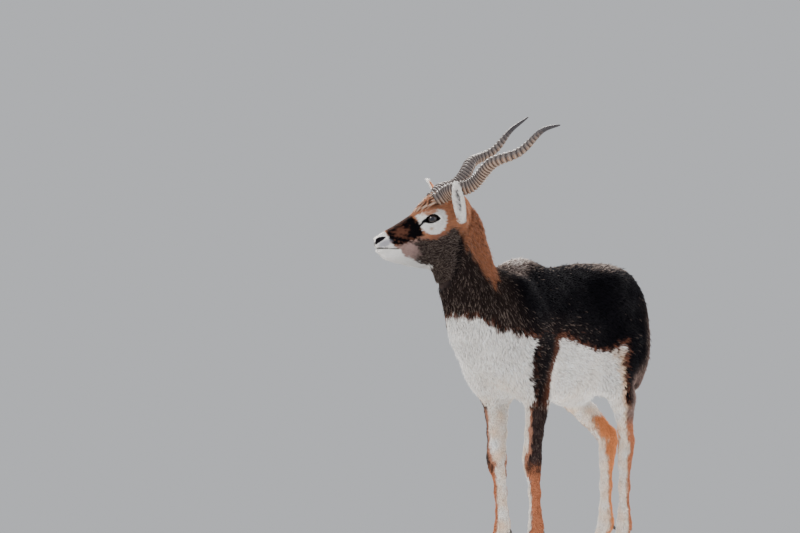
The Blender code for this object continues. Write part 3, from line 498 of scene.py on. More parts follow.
def surface_net(value, low, step):
    """Quads of the zero surface of a lattice of values."""
    for axis in range(3):
        edge = [slice(None)] * 3
        for end in (0, -1):
            edge[axis] = end
            value[tuple(edge)] = np.maximum(value[tuple(edge)], step * 0.5)
    inside = value < 0
    count = [n - 1 for n in value.shape]
    corners = [(i, j, k) for i in (0, 1) for j in (0, 1) for k in (0, 1)]
    total = np.zeros(count, np.uint8)
    for c in corners:
        total += inside[tuple(slice(o, o + n) for o, n in zip(c, count))]
    cell = np.argwhere((total > 0) & (total < 8))
    number = np.full(count, -1)
    number[tuple(cell.T)] = np.arange(len(cell))
    corner_value = {c: value[tuple((cell + c).T)] for c in corners}
    spot = np.zeros((len(cell), 3))
    hits = np.zeros(len(cell))
    for c in corners:
        for axis in range(3):
            if c[axis]:
                continue
            d = tuple(v + (k == axis) for k, v in enumerate(c))
            a, b = corner_value[c], corner_value[d]
            cross = (a < 0) != (b < 0)
            t = np.where(cross, a / np.where(cross, a - b, 1), 0)
            hits += cross
            for k in range(3):
                spot[:, k] += cross * c[k] if k != axis else t
    verts = np.array(low) + (cell + spot / hits[:, None]) * step
    faces = []
    for axis in range(3):
        u, w = (axis + 1) % 3, (axis + 2) % 3
        first = [slice(0, n) for n in count]
        first[u] = slice(1, count[u])
        first[w] = slice(1, count[w])
        second = list(first)
        second[axis] = slice(1, count[axis] + 1)
        change = inside[tuple(first)] != inside[tuple(second)]
        at = np.argwhere(change)
        at[:, u] += 1
        at[:, w] += 1
        leaving = inside[tuple(first)][change]
        ring = []
        for du, dw in ((-1, -1), (0, -1), (0, 0), (-1, 0)):
            c = at.copy()
            c[:, u] += du
            c[:, w] += dw
            ring.append(number[tuple(c.T)])
        quad = np.stack(ring, axis=1)
        quad[~leaving] = quad[~leaving][:, ::-1]
        faces.append(quad)
    return verts, np.concatenate(faces)


def relax(verts, faces, rounds):
    """Evens a mesh by moving each vertex half way to its neighbours' mean."""
    for _ in range(rounds):
        total = np.zeros_like(verts)
        count = np.zeros(len(verts))
        for k in range(4):
            a, b = faces[:, k], faces[:, (k + 1) % 4]
            for one, other in ((a, b), (b, a)):
                for axis in range(3):
                    total[:, axis] += np.bincount(one, verts[other, axis], len(verts))
                count += np.bincount(one, minlength=len(verts))
        verts = verts * 0.5 + total / np.maximum(count, 1)[:, None] * 0.5
    return verts


def lattice(low, high, step):
    axes = [np.arange(a, b + step, step) for a, b in zip(low, high)]
    return np.stack(np.meshgrid(*axes, indexing="ij"), axis=-1)


def sink(value, grid_step, depth):
    """Moves the zero surface inwards by a depth, in true distance."""
    slope = np.sqrt(sum(g * g for g in np.gradient(value, grid_step)))
    return value + depth * np.clip(slope, 0.35, 1.3)


def flesh_field(p):
    body = blend(torso_field(p), neck_field(p), 0.05)
    for name in STANCE:
        body = blend(body, leg_field(p, name), 0.030)
    return blend(body, tail_field(p), 0.012)


DIVE = 0.0012  # how far a finer mesh sinks under a coarser one at their border


def body_mesh(step):
    low, high = (-0.150, -0.350, 0.394), (0.150, 0.600, 1.010)
    p = lattice(low, high, step)
    behind = from_cut(p)
    value = flesh_field(p)
    near = (np.abs(behind) < 0.10) & (p[..., 2] > 0.70) & (p[..., 1] < -0.05)
    value[near] = blend(value[near], skull_field(to_head(p[near])), 0.022)
    value = sink(value, step, coat_depth(p))
    high = p[..., 2] > 0.70
    value += DIVE * smoothstep(0.014, 0.004, behind) * high
    value += 0.05 * smoothstep(-0.004, -0.02, behind) * high * (p[..., 1] < -0.12)
    value += DIVE * smoothstep(0.408, 0.400, p[..., 2])
    rear = p[..., 1] * (p[..., 2] > 0.54)
    value += DIVE * smoothstep(0.548, 0.556, rear) + 0.05 * smoothstep(0.562, 0.575, rear)
    return relaxed(value, low, step, 2)


def relaxed(value, low, step, rounds):
    verts, faces = surface_net(value, low, step)
    return relax(verts, faces, rounds), faces


def leg_mesh(name, step):
    side = STANCE[name][0]
    fore = name.startswith("fore")
    ys = (-0.10, 0.13) if fore else (0.28, 0.62)
    xs = sorted((side * 0.001, side * 0.165))
    low, high = (xs[0], ys[0], CORONET - 0.004), (xs[1], ys[1], 0.424)
    p = lattice(low, high, step)
    value = blend(torso_field(p), leg_field(p, name), 0.030)
    value = sink(value, step, coat_depth(p))
    value += DIVE * smoothstep(0.404, 0.414, p[..., 2])
    return relaxed(value, low, step, 1)


def tail_mesh(step):
    low, high = (-0.034, 0.536, 0.548), (0.034, 0.622, 0.748)
    p = lattice(low, high, step)
    value = sink(blend(torso_field(p), tail_field(p), 0.012), step, 0.004)
    value += DIVE * smoothstep(0.556, 0.546, p[..., 1])
    return relaxed(value, low, step, 1)


def head_mesh(step):
    low, high = (-0.080, -0.014, -0.150), (0.080, 0.335, 0.104)
    h = lattice(low, high, step)
    p = from_head(h)
    value = blend(skull_field(h), neck_field(p), 0.022)
    value = sink(value, step, coat_depth(p))
    behind = (h - HEAD_CUT_AT) @ HEAD_CUT_NORMAL
    value += DIVE * smoothstep(0.006, 0.016, behind) + 0.05 * smoothstep(0.022, 0.034, behind)
    verts, faces = relaxed(value, low, step, 1)
    return from_head(verts), faces


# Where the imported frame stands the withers

def frame_shift():
    low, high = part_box("eye_left")
    centre, _, _, _ = eye_axes(1)
    return np.array((low + high) / 2 - HEAD @ centre)


SHIFT = frame_shift()


def ripple(p, size, seed, waves=9):
    """Smooth noise between about -1 and 1, as a sum of plane waves."""
    rand = np.random.default_rng(seed)
    total = np.zeros(len(p))
    for _ in range(waves):
        k = rand.normal(size=3)
        k *= 2 * math.pi / size / np.linalg.norm(k) * rand.uniform(0.6, 1.5)
        total += np.sin(p @ k + rand.uniform(0, 6.3))
    return total / math.sqrt(waves) * 0.9


# Markings, with painted rim light on the back and a painted highlight on the nose bridge among
# them. Colours are linear red, green, blue.

BLACK = np.array((0.0035, 0.003, 0.004))
DARK = np.array((0.0045, 0.0045, 0.0065))
BROWN = np.array((0.026, 0.017, 0.016))
RED_BROWN = np.array((0.15, 0.060, 0.038))
GREY_BROWN = np.array((0.19, 0.130, 0.115))
FLECK = np.array((0.27, 0.20, 0.165))
RUFOUS = np.array((0.31, 0.110, 0.057))
ORANGE = np.array((0.46, 0.205, 0.108))
CANNON = np.array((0.48, 0.180, 0.092))
HOCK = np.array((0.64, 0.255, 0.105))
TAN = np.array((0.58, 0.39, 0.26))
CREAM = np.array((0.84, 0.66, 0.52))
WHITE = np.array((0.87, 0.835, 0.80))

WHITE_TOP = (  # (y, height) where the dark of the flank ends
    (-0.310, 0.664), (-0.250, 0.652), (-0.225, 0.638), (-0.200, 0.622), (-0.175, 0.618),
    (-0.145, 0.612), (-0.105, 0.601), (-0.087, 0.586), (0.020, 0.590), (0.077, 0.588),
    (0.152, 0.580), (0.230, 0.558), (0.297, 0.554), (0.342, 0.563), (0.369, 0.572),
)
BAND_FRONT = (  # (height, y) of the dark band down the foreleg
    (0.376, -0.034), (0.439, -0.057), (0.503, -0.087), (0.533, -0.092), (0.580, -0.085),
)
BAND_BACK = (
    (0.376, 0.020), (0.444, 0.012), (0.503, 0.004), (0.525, 0.018), (0.554, 0.047),
    (0.592, 0.057),
)
HIND_EDGE = (
    (0.380, 0.425), (0.410, 0.398), (0.439, 0.374), (0.478, 0.361), (0.541, 0.359),
    (0.575, 0.369),
)
NAPE_EDGE = (  # (y, height) of the lower edge of the rufous neck
    (-0.330, 0.930), (-0.298, 0.866), (-0.273, 0.809), (-0.246, 0.760), (-0.219, 0.728),
    (-0.188, 0.748), (-0.165, 0.785), (-0.110, 0.800),
)
FORE_BOUND = (  # (height, how far round the brown of a foreleg reaches)
    (0.10, -0.50), (0.183, -0.50), (0.216, -0.58), (0.232, -0.70), (0.255, -0.88),
    (0.268, -0.80), (0.285, -0.45), (0.297, -0.25), (0.345, -0.32), (0.41, -0.28),
)
HIND_INNER = (
    (0.10, 0.0), (0.183, -0.05), (0.216, -0.10), (0.248, -0.35), (0.28, -0.60),
    (0.345, -0.55), (0.377, 0.0), (0.40, 0.70), (0.43, 1.0),
)
HIND_OUTER = (
    (0.10, -0.40), (0.15, -0.50), (0.216, -0.60), (0.28, -0.60), (0.345, -0.55),
    (0.38, -0.45), (0.43, -0.35),
)
EYE_RING = (
    (0.1215, 0.0340), (0.1398, 0.0388), (0.1560, 0.0385), (0.1780, 0.0376),
    (0.1963, 0.0285), (0.1985, 0.0102), (0.1884, -0.0116), (0.1734, -0.0240),
    (0.1522, -0.0279), (0.1351, -0.0181), (0.1247, -0.0044), (0.1235, 0.0086),
    (0.1255, 0.0200),
)
EYE_BLACK = (
    (0.1300, 0.0150), (0.1330, 0.0190), (0.1400, 0.0222), (0.1500, 0.0268),
    (0.1597, 0.0290), (0.1700, 0.0262), (0.1780, 0.0190), (0.1822, 0.0092),
    (0.1760, 0.0060), (0.1670, 0.0045), (0.1567, 0.0042), (0.1470, 0.0068),
    (0.1400, 0.0110),
)
BLACK_FACE = (
    (0.0297, -0.0014), (0.0444, -0.0192), (0.0707, -0.0240), (0.0900, -0.0230),
    (0.1101, -0.0215), (0.1230, -0.0165), (0.1260, 0.0109), (0.1210, 0.0260),
    (0.1153, 0.0400), (0.0955, 0.0420), (0.0629, 0.0330), (0.0395, 0.0300),
)
WHITE_MUZZLE = (
    (-0.030, 0.040), (0.0375, 0.0400), (0.0343, -0.0030), (0.0419, -0.0183),
    (0.0587, -0.0317), (0.0601, -0.0499), (0.0767, -0.0683), (0.1011, -0.0895),
    (0.1227, -0.0996), (0.116, -0.112), (0.090, -0.120), (-0.030, -0.120),
)
DARK_CHEEK = (
    (0.092, -0.028), (0.1069, -0.0225), (0.1313, -0.0310), (0.1560, -0.0345),
    (0.1792, -0.0320), (0.2030, -0.0230), (0.2160, -0.0330), (0.2200, -0.260), (0.070, -0.260),
    (0.078, -0.060),
)


def polygon_distance(a, b, corners):
    """Distance to a polygon's edge, positive inside."""
    corners = np.array(corners)
    best = np.full(len(a), np.inf)
    odd = np.zeros(len(a), bool)
    for (x0, y0), (x1, y1) in zip(corners, np.roll(corners, -1, axis=0)):
        ex, ey = x1 - x0, y1 - y0
        t = np.clip(((a - x0) * ex + (b - y0) * ey) / (ex * ex + ey * ey), 0, 1)
        best = np.minimum(best, np.hypot(a - x0 - t * ex, b - y0 - t * ey))
        crossing = (y0 > b) != (y1 > b)
        at = x0 + (b - y0) / (ey if abs(ey) > 1e-9 else 1e-9) * ex
        odd ^= crossing & (a < at)
    return np.where(odd, best, -best)


def mix(base, colour, share):
    share = np.clip(share, 0, 1)[:, None]
    return base * (1 - share) + colour * share


def body_marks(p, n):
    """Colours and share of light hair tips over torso, neck, tail and legs, with painted rim
    light along the top of the back.
    Each mark is a signed distance from its edge, made ragged by a ripple."""
    x, y, z = p.T
    side = np.sign(x)
    rough = ripple(p, 0.024, 1) * 0.006 + ripple(p, 0.009, 2) * 0.003
    fleck = 0.5 + 0.5 * ripple(p * np.array((1, 1, 0.4)), 0.008, 3)

    flank = z - read_table(y, WHITE_TOP)
    band = np.minimum(y - read_table(z, BAND_FRONT), read_table(z, BAND_BACK) - y)
    band = np.where((z < 0.61) & (y < 0.15), band, -0.2)
    hind = np.where((z < 0.60) & (y > 0.30), y - read_table(z, HIND_EDGE), -0.2)
    outer = n[:, 0] * side
    within = np.where(z < 0.585, np.maximum(0.12 - outer, 0) * 0.14, 0)
    within += np.where(z < 0.50, np.maximum(-n[:, 2] - 0.35, 0) * 0.10, 0)
    dark = np.maximum(flank, np.maximum(band, hind) - within) + rough

    colour = np.tile(WHITE, (len(p), 1))
    warm = 0.5 + 0.5 * ripple(p, 0.11, 4)
    colour = mix(colour, CREAM, 0.40 * warm * smoothstep(0.60, 0.40, z))
    thigh = smoothstep(0.30, 0.34, y) * smoothstep(0.58, 0.54, z)
    colour = mix(colour, TAN * 1.1, 0.90 * thigh * smoothstep(-0.026, -0.004, dark))
    lead = smoothstep(0.030, 0.010, y - read_table(z, BAND_FRONT)) * (z < 0.60) * (y < 0.05)
    edge_colour = RED_BROWN + (BROWN - RED_BROWN) * (0.85 * lead)[:, None]
    colour = mix(colour, edge_colour, smoothstep(-0.004, 0.004, dark))
    low = smoothstep(0.090, 0.020, dark) * smoothstep(0.30, 0.10, y)
    inner = DARK + (BROWN - DARK) * (0.08 * fleck + 0.40 * low)[:, None]
    colour = mix(colour, inner, smoothstep(0.004, 0.016, dark + rough))
    trail = smoothstep(0.045, 0.008, read_table(z, BAND_BACK) - y) * (z < 0.60) * (y < 0.12)
    colour = mix(colour, RED_BROWN * 0.85, 0.75 * trail * smoothstep(0.0, 0.01, dark))
    light_tips = (0.004 + 0.08 * low) * smoothstep(0.01, 0.03, dark)

    front = smoothstep(-0.100, -0.180, y) * smoothstep(0.57, 0.62, z)
    grizzled = BROWN * 0.75 + (FLECK - BROWN) * (0.05 * fleck)[:, None]
    in_dark = smoothstep(0.0, 0.014, dark)
    colour = mix(colour, grizzled, 0.90 * front * in_dark)
    light_tips += 0.16 * front * in_dark

    nape = z - read_table(y, NAPE_EDGE) + ripple(p * np.array((1, 1, 0.35)), 0.014, 5) * 0.012
    nape = np.where(y < -0.10, nape, np.minimum(nape, -0.01 - (y + 0.10)))
    rufous = RUFOUS + (ORANGE - RUFOUS) * (0.15 + 0.5 * fleck)[:, None]
    strand = ripple(p * np.array((1, 1, 0.22)), 0.007, 6)
    rufous = mix(rufous, BROWN * 2.2, 0.50 * smoothstep(0.10, 0.80, strand))
    on_neck = smoothstep(-0.014, 0.016, nape) * (z > 0.68)
    colour = mix(colour, rufous, on_neck)
    light_tips = light_tips * (1 - on_neck) + 0.14 * on_neck
    throat = smoothstep(-0.90, -0.98, n[:, 1]) * smoothstep(0.66, 0.72, z) * (y < -0.2)
    colour = mix(colour, TAN * 0.8, 0.45 * throat * (0.5 + 0.5 * fleck))

    # Painted rim light: pale hair tips, and at the withers and croup a pale grey-brown, where
    # the top of the back faces upwards; at the withers it is partly real pale hair too.
    ridge_rim_light = smoothstep(0.80, 0.98, n[:, 2]) * smoothstep(0.745, 0.775, z)
    withers = smoothstep(0.60, 0.95, n[:, 2]) * smoothstep(0.740, 0.772, z)
    withers *= np.exp(-((y + 0.025) / 0.055) ** 2)
    croup = ridge_rim_light * smoothstep(0.22, 0.34, y)
    light_tips += 0.95 * withers + 0.27 * croup + 0.20 * ridge_rim_light * (y > 0)
    colour = mix(colour, GREY_BROWN * 1.3, 0.50 * withers + 0.08 * croup)

    behind = n[:, 1] + 2.6 * np.clip(0.56 - z, 0, 0.2)
    rear = smoothstep(0.10, 0.60, behind) * smoothstep(0.38, 0.43, y)
    rear *= smoothstep(0.72, 0.62, z) * smoothstep(0.0, 0.02, dark)
    rear_colour = GREY_BROWN * (0.95 + 0.75 * smoothstep(0.54, 0.42, z))[:, None]
    colour = mix(colour, rear_colour * (0.7 + 0.5 * fleck)[:, None], 0.75 * rear)
    light_tips += 0.30 * rear
    seat = smoothstep(0.034, 0.018, np.abs(x)) * smoothstep(0.46, 0.50, y)
    seat *= smoothstep(0.70, 0.66, z)
    colour = mix(colour, WHITE, seat)
    light_tips *= 1 - seat
    inner_thigh = smoothstep(0.0, -0.35, outer) * smoothstep(0.56, 0.50, z) * (y > 0.30)
    middle = smoothstep(0.062, 0.046, np.abs(x)) * smoothstep(0.56, 0.53, z) * (y > 0.28)
    pale_part = np.maximum(inner_thigh, middle)
    colour = mix(colour, WHITE, pale_part)
    light_tips *= 1 - pale_part

    tail = smoothstep(0.552, 0.560, y) * (z > 0.54)
    tail_colour = np.where((n[:, 1] > -0.25)[:, None], BROWN * 0.7, WHITE)
    colour = mix(colour, tail_colour, tail)
    return leg_marks(p, n, colour, light_tips)


def leg_marks(p, n, colour, light_tips):
    """Bands of the four legs, below the chest and thighs."""
    for name, (side, _, _, turn) in STANCE.items():
        fore = name.startswith("fore")
        mine = (p[:, 0] * side > 0) & ((p[:, 1] < 0.2) == fore) & (p[:, 2] < 0.43)
        if not mine.any():
            continue
        q, m = p[mine], n[mine]
        z = q[:, 2]
        angle = turn * np.clip((0.46 - z) / 0.12, 0, 1)
        mx, my = m[:, 0] * side, m[:, 1]
        out = mx * np.cos(angle) + my * np.sin(angle)
        rear = my * np.cos(angle) - mx * np.sin(angle)
        edge = ripple(q * np.array((1, 1, 0.4)), 0.012, 7) * 0.14
        spots = 0.5 + 0.5 * ripple(q, 0.010, 9)
        old = colour[mine]
        pale = WHITE + (CREAM - WHITE) * (0.45 + 0.35 * ripple(q, 0.05, 8))[:, None]
        if fore:
            band = out + 0.30 * rear - read_table(z, FORE_BOUND) + edge
            upper = smoothstep(0.244, 0.272, z)
            deep = BROWN * (0.9 + 1.7 * spots)[:, None]
            deep = mix(deep, RED_BROWN, 0.55 * smoothstep(0.55, 0.95, rear + 0.25 * edge))
            knee = smoothstep(0.226, 0.240, z) * smoothstep(0.290, 0.262, z)
            knee *= smoothstep(0.35, 0.75, spots + 0.25)
            mark = mix(CANNON * (0.9 + 0.2 * spots)[:, None], BROWN * 1.4, 0.80 * knee)
            mark = mark * (1 - upper[:, None]) + deep * upper[:, None]
            new = mix(pale, CANNON * 0.8, 0.9 * smoothstep(-0.16, 0.10, band))
            start = 0.05 + 0.22 * upper
            new = mix(new, mark, smoothstep(start, start + 0.30, band))
            light_tips[mine] += 0.30 * upper * smoothstep(0.2, 0.5, band)
        else:
            share = smoothstep(-0.35, 0.35, out)
            bound = read_table(z, HIND_INNER) * (1 - share) + read_table(z, HIND_OUTER) * share
            band = rear - bound + edge
            high = (smoothstep(0.345, 0.390, z) * share)[:, None]
            mark = HOCK + (CANNON - HOCK) * share[:, None]
            brown = GREY_BROWN * (1.0 + 0.5 * spots)[:, None]
            mark = mark * (1 - high) + brown * high
            new = mix(pale, TAN * 0.9, 0.8 * smoothstep(-0.20, 0.05, band))
            new = mix(new, mark, smoothstep(0.0, 0.28, band))
        hoof_line = smoothstep(CORONET + 0.012, CORONET + 0.004, z)
        new = mix(new, BROWN, hoof_line)
        top = smoothstep(0.425, 0.395, z)
        colour[mine] = old * (1 - top[:, None]) + new * top[:, None]
        light_tips[mine] *= 1 - 0.6 * top
    return colour, np.clip(light_tips, 0, 1)


def face_marks(p, n):
    """Colours and share of light tips over the head, with a painted highlight on the nose
    bridge.
    """
    h = to_head(p)
    x, s, v = h.T
    rough = ripple(p, 0.012, 11) * 0.0022 + ripple(p, 0.005, 12) * 0.0012
    fleck = 0.5 + 0.5 * ripple(h * np.array((1, 0.5, 1)), 0.006, 13)
    streak = ripple(h * np.array((1, 0.22, 1)), 0.011, 14)
    colour = RUFOUS + (ORANGE - RUFOUS) * (0.35 + 0.5 * fleck)[:, None]
    crown = smoothstep(0.038, 0.050, v) * smoothstep(0.095, 0.125, s)
    colour = mix(colour, BROWN, 0.85 * crown * smoothstep(0.05, 0.60, streak))
    colour = mix(colour, CREAM * 0.9, 0.75 * crown * smoothstep(-0.10, -0.75, streak))
    light_tips = np.full(len(p), 0.15)

    cheek = polygon_distance(s, v, DARK_CHEEK) + rough * 1.5
    low_face = smoothstep(0.135, 0.105, s) * smoothstep(-0.010, -0.026, v)
    colour = mix(colour, GREY_BROWN * 1.5, 0.85 * low_face)
    grizzled = BROWN * 0.85 + (FLECK - BROWN) * (0.03 + 0.08 * fleck)[:, None]
    on_cheek = smoothstep(-0.004, 0.006, cheek)
    colour = mix(colour, grizzled, on_cheek)
    light_tips = light_tips * (1 - on_cheek) + 0.32 * on_cheek
    patch = np.hypot((s - 0.080) / 0.022, (v + 0.046) / 0.026) + rough * 90
    colour = mix(colour, np.array((0.42, 0.28, 0.255)), 0.8 * smoothstep(1.25, 0.55, patch))
    under_ring = np.hypot((s - 0.158) / 0.030, (v + 0.031) / 0.0065) + rough * 50
    colour = mix(colour, RED_BROWN * 1.9, 0.75 * smoothstep(1.25, 0.6, under_ring))
    groove = smoothstep(0.011, 0.004, np.abs(s - 0.2206 - (v + 0.0505) * 0.68))
    groove *= smoothstep(-0.040, -0.058, v)
    colour = mix(colour, DARK, 0.85 * groove)
    light_tips *= 1 - 0.8 * groove

    black = polygon_distance(s, v, BLACK_FACE) + rough * 1.5
    on_black = smoothstep(-0.0030, 0.0035, black)
    # Painted highlight: the top of the nose bridge turns grey-brown on the black face where it
    # faces upwards.
    painted_bridge_highlight = smoothstep(0.018, 0.006, np.abs(x)) * smoothstep(0.0, 0.6, n @ HEAD_M[:3, 2])
    deep = BLACK + (GREY_BROWN - BLACK) * (0.55 * painted_bridge_highlight * (0.5 + 0.5 * fleck))[:, None]
    colour = mix(colour, deep, on_black)
    light_tips *= 1 - on_black
    brown = np.hypot((s - 0.073) / 0.0190, (v - 0.0095) / 0.0120) + rough * 130
    colour = mix(colour, RED_BROWN * 1.1, 0.80 * smoothstep(1.30, 0.35, brown))
    mottle = ripple(h, 0.010, 16) * on_black * smoothstep(0.112, 0.092, s)
    colour = mix(colour, RED_BROWN * 0.9, 0.60 * smoothstep(0.15, 0.70, mottle))

    muzzle = polygon_distance(s, v, WHITE_MUZZLE) + rough
    on_muzzle = smoothstep(-0.0015, 0.0025, muzzle)
    colour = mix(colour, WHITE, on_muzzle)
    grey = np.hypot((s - 0.022) / 0.021, (v + 0.005) / 0.0100)
    colour = mix(colour, np.array((0.33, 0.32, 0.37)), 0.80 * smoothstep(1.2, 0.5, grey))
    under = smoothstep(0.020, 0.010, np.abs(x)) * smoothstep(-0.070, -0.085, v)
    under *= smoothstep(0.115, 0.095, s)
    colour = mix(colour, WHITE, under)
    light_tips *= 1 - np.maximum(on_muzzle, under)

    ring = polygon_distance(s, v, EYE_RING) + rough * 0.7
    on_ring = smoothstep(-0.0012, 0.0022, ring) * (np.abs(x) > 0.018)
    colour = mix(colour, WHITE, on_ring)
    above = np.hypot((s - 0.1600) / 0.0215, (v - 0.0365) / 0.0100) + rough * 40
    colour = mix(colour, ORANGE * 1.1, 0.90 * smoothstep(1.25, 0.6, above) * on_ring)
    spot = np.hypot((s - 0.1475) / 0.0060, (v + 0.0075) / 0.0048)
    colour = mix(colour, TAN * 0.85, 0.85 * smoothstep(1.2, 0.5, spot) * on_ring)
    light_tips *= 1 - on_ring
    rim = polygon_distance(s, v, EYE_BLACK)
    colour = mix(colour, BLACK, smoothstep(-0.0012, 0.0006, rim) * (np.abs(x) > 0.022))
    gland = segment_distance(s, v, (0.1330, 0.0140), (0.1180, 0.0060))
    colour = mix(colour, BLACK, smoothstep(0.0036, 0.0016, gland))
    colour = mix(colour, BLACK * 2, smoothstep(0.0024, 0.0010, bare_lines(h)))
    return colour, np.clip(light_tips, 0, 1)


def bare_lines(h):
    """Distance from the dark bare skin of the mouth's line and nostrils."""
    gap = np.full(len(h), np.inf)
    for a, b in zip(MOUTH_LINE, MOUTH_LINE[1:]):
        gap = np.minimum(gap, segment_distance(h[:, 1], h[:, 2], a[1:], b[1:]))
    for side in (1, -1):
        gap = np.minimum(gap, nostril_slit(h, side) - 0.0020)
    nose = limb(h, (0, -0.002, 0.004), (0, -0.001, -0.012), 0.0040, 0.0024)
    return np.minimum(gap, nose + 0.0010)


def segment_distance(a, b, start, end):
    ex, ey = end[0] - start[0], end[1] - start[1]
    t = np.clip(((a - start[0]) * ex + (b - start[1]) * ey) / (ex * ex + ey * ey), 0, 1)
    return np.hypot(a - start[0] - t * ex, b - start[1] - t * ey)


def marks(p, n):
    """Markings of any point of the skin, with painted rim light on the back and a painted
    highlight on the nose bridge, in the solids' own frame.
    """
    body, body_tips = body_marks(p, n)
    behind = from_cut(p)
    headed = (behind < 0.03) & (p[:, 2] > 0.70) & (p[:, 1] < -0.10)
    if not headed.any():
        return body, body_tips
    face, face_tips = face_marks(p[headed], n[headed])
    share = smoothstep(0.016, -0.010, behind[headed] + ripple(p[headed], 0.02, 15) * 0.005)
    body[headed] = body[headed] * (1 - share[:, None]) + face * share[:, None]
    body_tips[headed] = body_tips[headed] * (1 - share) + face_tips * share
    return body, body_tips


# Building meshes

def mesh_object(name, verts, faces, finish, colours=None, smooth=True, uv=None):
    """Object from arrays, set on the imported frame's place. Faces are an array
    of equal rows or a list of such arrays."""
    groups = faces if isinstance(faces, list) else [faces]
    loops = np.concatenate([g.reshape(-1) for g in groups]).astype(np.int32)
    sizes = np.concatenate([np.full(len(g), g.shape[1]) for g in groups])
    starts = np.concatenate(([0], np.cumsum(sizes)[:-1]))
    mesh = bpy.data.meshes.new(name)
    mesh.vertices.add(len(verts))
    mesh.vertices.foreach_set("co", (np.asarray(verts) + SHIFT).astype(np.float32).ravel())
    mesh.loops.add(len(loops))
    mesh.loops.foreach_set("vertex_index", loops)
    mesh.polygons.add(len(sizes))
    mesh.polygons.foreach_set("loop_start", starts.astype(np.int32))
    mesh.update(calc_edges=True)
    mesh.polygons.foreach_set("use_smooth", np.full(len(sizes), smooth))
    if colours is not None:
        layer = mesh.color_attributes.new("marks", "FLOAT_COLOR", "POINT")
        full = np.ones((len(verts), 4), np.float32)
        full[:, :3] = colours
        layer.data.foreach_set("color", full.ravel())
    if uv is not None:
        layer = mesh.uv_layers.new(name="OFBake")
        layer.data.foreach_set("uv", uv[loops].astype(np.float32).ravel())
    mesh.materials.append(finish)
    mesh.validate()
    obj = bpy.data.objects.new(name, mesh)
    bpy.context.scene.collection.objects.link(obj)
    return obj


def vertex_normals(verts, faces):
    a, b, c, d = (verts[faces[:, k]] for k in range(4))
    normal = np.cross(c - a, d - b)
    total = np.zeros_like(verts)
    for k in range(4):
        for axis in range(3):
            total[:, axis] += np.bincount(faces[:, k], normal[:, axis], len(verts))
    return unit_rows(total)


def join(parts):
    verts, faces, start = [], [], 0
    for v, f in parts:
        verts.append(v)
        faces.append(f + start)
        start += len(v)
    return np.concatenate(verts), np.concatenate(faces)


# Materials

def shader_of(name):
    made = bpy.data.materials.new(name)
    made.use_nodes = True
    return made, made.node_tree, made.node_tree.nodes["Principled BSDF"]


def marked_shader_of(name):
    """Material whose colour is the markings that a mesh carries."""
    made, tree, shader = shader_of(name)
    marks_in = tree.nodes.new("ShaderNodeVertexColor")
    marks_in.layer_name = "marks"
    tree.links.new(marks_in.outputs["Color"], shader.inputs["Base Color"])
    return made, tree, shader


def noise_bump(tree, shader, scale, strength, distance, stretch=None):
    coords = tree.nodes.new("ShaderNodeTexCoord")
    source = coords.outputs["Object"]
    if stretch:
        mapping = tree.nodes.new("ShaderNodeMapping")
        mapping.inputs["Scale"].default_value = stretch
        tree.links.new(source, mapping.inputs["Vector"])
        source = mapping.outputs["Vector"]
    noise = tree.nodes.new("ShaderNodeTexNoise")
    noise.inputs["Scale"].default_value = scale
    noise.inputs["Detail"].default_value = 3
    tree.links.new(source, noise.inputs["Vector"])
    bump = tree.nodes.new("ShaderNodeBump")
    bump.inputs["Strength"].default_value = strength
    bump.inputs["Distance"].default_value = distance
    tree.links.new(noise.outputs["Fac"], bump.inputs["Height"])
    tree.links.new(bump.outputs["Normal"], shader.inputs["Normal"])


def hair_material(name, roughness, bump):
    made, tree, shader = marked_shader_of(name)
    shader.inputs["Roughness"].default_value = roughness
    shader.inputs["Specular IOR Level"].default_value = 0.02
    if bump:
        noise_bump(tree, shader, 420, bump, 0.0015)
    return made


# Skin

MESH_STEPS = {
    "body": (0.0085, 0.0066), "leg": (0.0048, 0.0040), "tail": (0.0040, 0.0040),
    "head": (0.0028, 0.0021),
}


def skin_parts():
    steps = {part: pair[1] for part, pair in MESH_STEPS.items()}
    parts = [body_mesh(steps["body"])]
    parts += [leg_mesh(name, steps["leg"]) for name in STANCE]
    return parts + [tail_mesh(steps["tail"]), head_mesh(steps["head"])]


def make_skin(parts):
    verts, faces = join(parts)
    normals = vertex_normals(verts, faces)
    colours, _ = marks(verts, normals)
    skin = mesh_object("skin", verts, faces, hair_material("skin_marks", 0.75, 0.5), colours)
    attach(skin, "root")
    legs = [f"{name}_{part}" for name in STANCE for part in ("upper", "lower")]
    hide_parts("torso", "neck", "head", "tail", *legs)


# Coat

PIECE_TUFTS = 19000
BODY_TUFTS, BODY_TUFT_WIDTH = 92000, 0.0023
LEG_TUFTS, LEG_TUFT_WIDTH = 6000, 0.0016
TAIL_TUFTS, TAIL_TUFT_WIDTH = 1800, 0.0018
FACE_TUFTS = 56000
EAR_TUFTS, EAR_TUFT_WIDTH = 11000, 0.0011
PATCH = 0.003  # size of one tuft on the unwrap


def lie_of_coat(p, n):
    """Direction in which the hair lies, along the skin."""
    _, y, z = p.T
    lie = np.tile((0.0, 0.92, -0.40), (len(p), 1))

    def turn(direction, share):
        lie[:] = lie * (1 - share[:, None]) + np.array(direction) * share[:, None]

    turn((0, 0.35, -0.93), smoothstep(0.36, 0.50, y) * smoothstep(0.78, 0.70, z))
    turn((0, 0.22, -0.97), smoothstep(-0.06, -0.16, y))
    turn((0, 0.06, -1.0), smoothstep(0.50, 0.42, z))
    turn((0, 0.15, -1.0), smoothstep(0.552, 0.560, y) * (z > 0.54))
    back = HEAD_M[:3, :3] @ np.array((0, 1.0, -0.30))
    turn(back, smoothstep(0.02, -0.01, from_cut(p)) * (z > 0.70) * (y < -0.10))
    lie -= np.sum(lie * n, axis=1)[:, None] * n
    return unit_rows(lie)


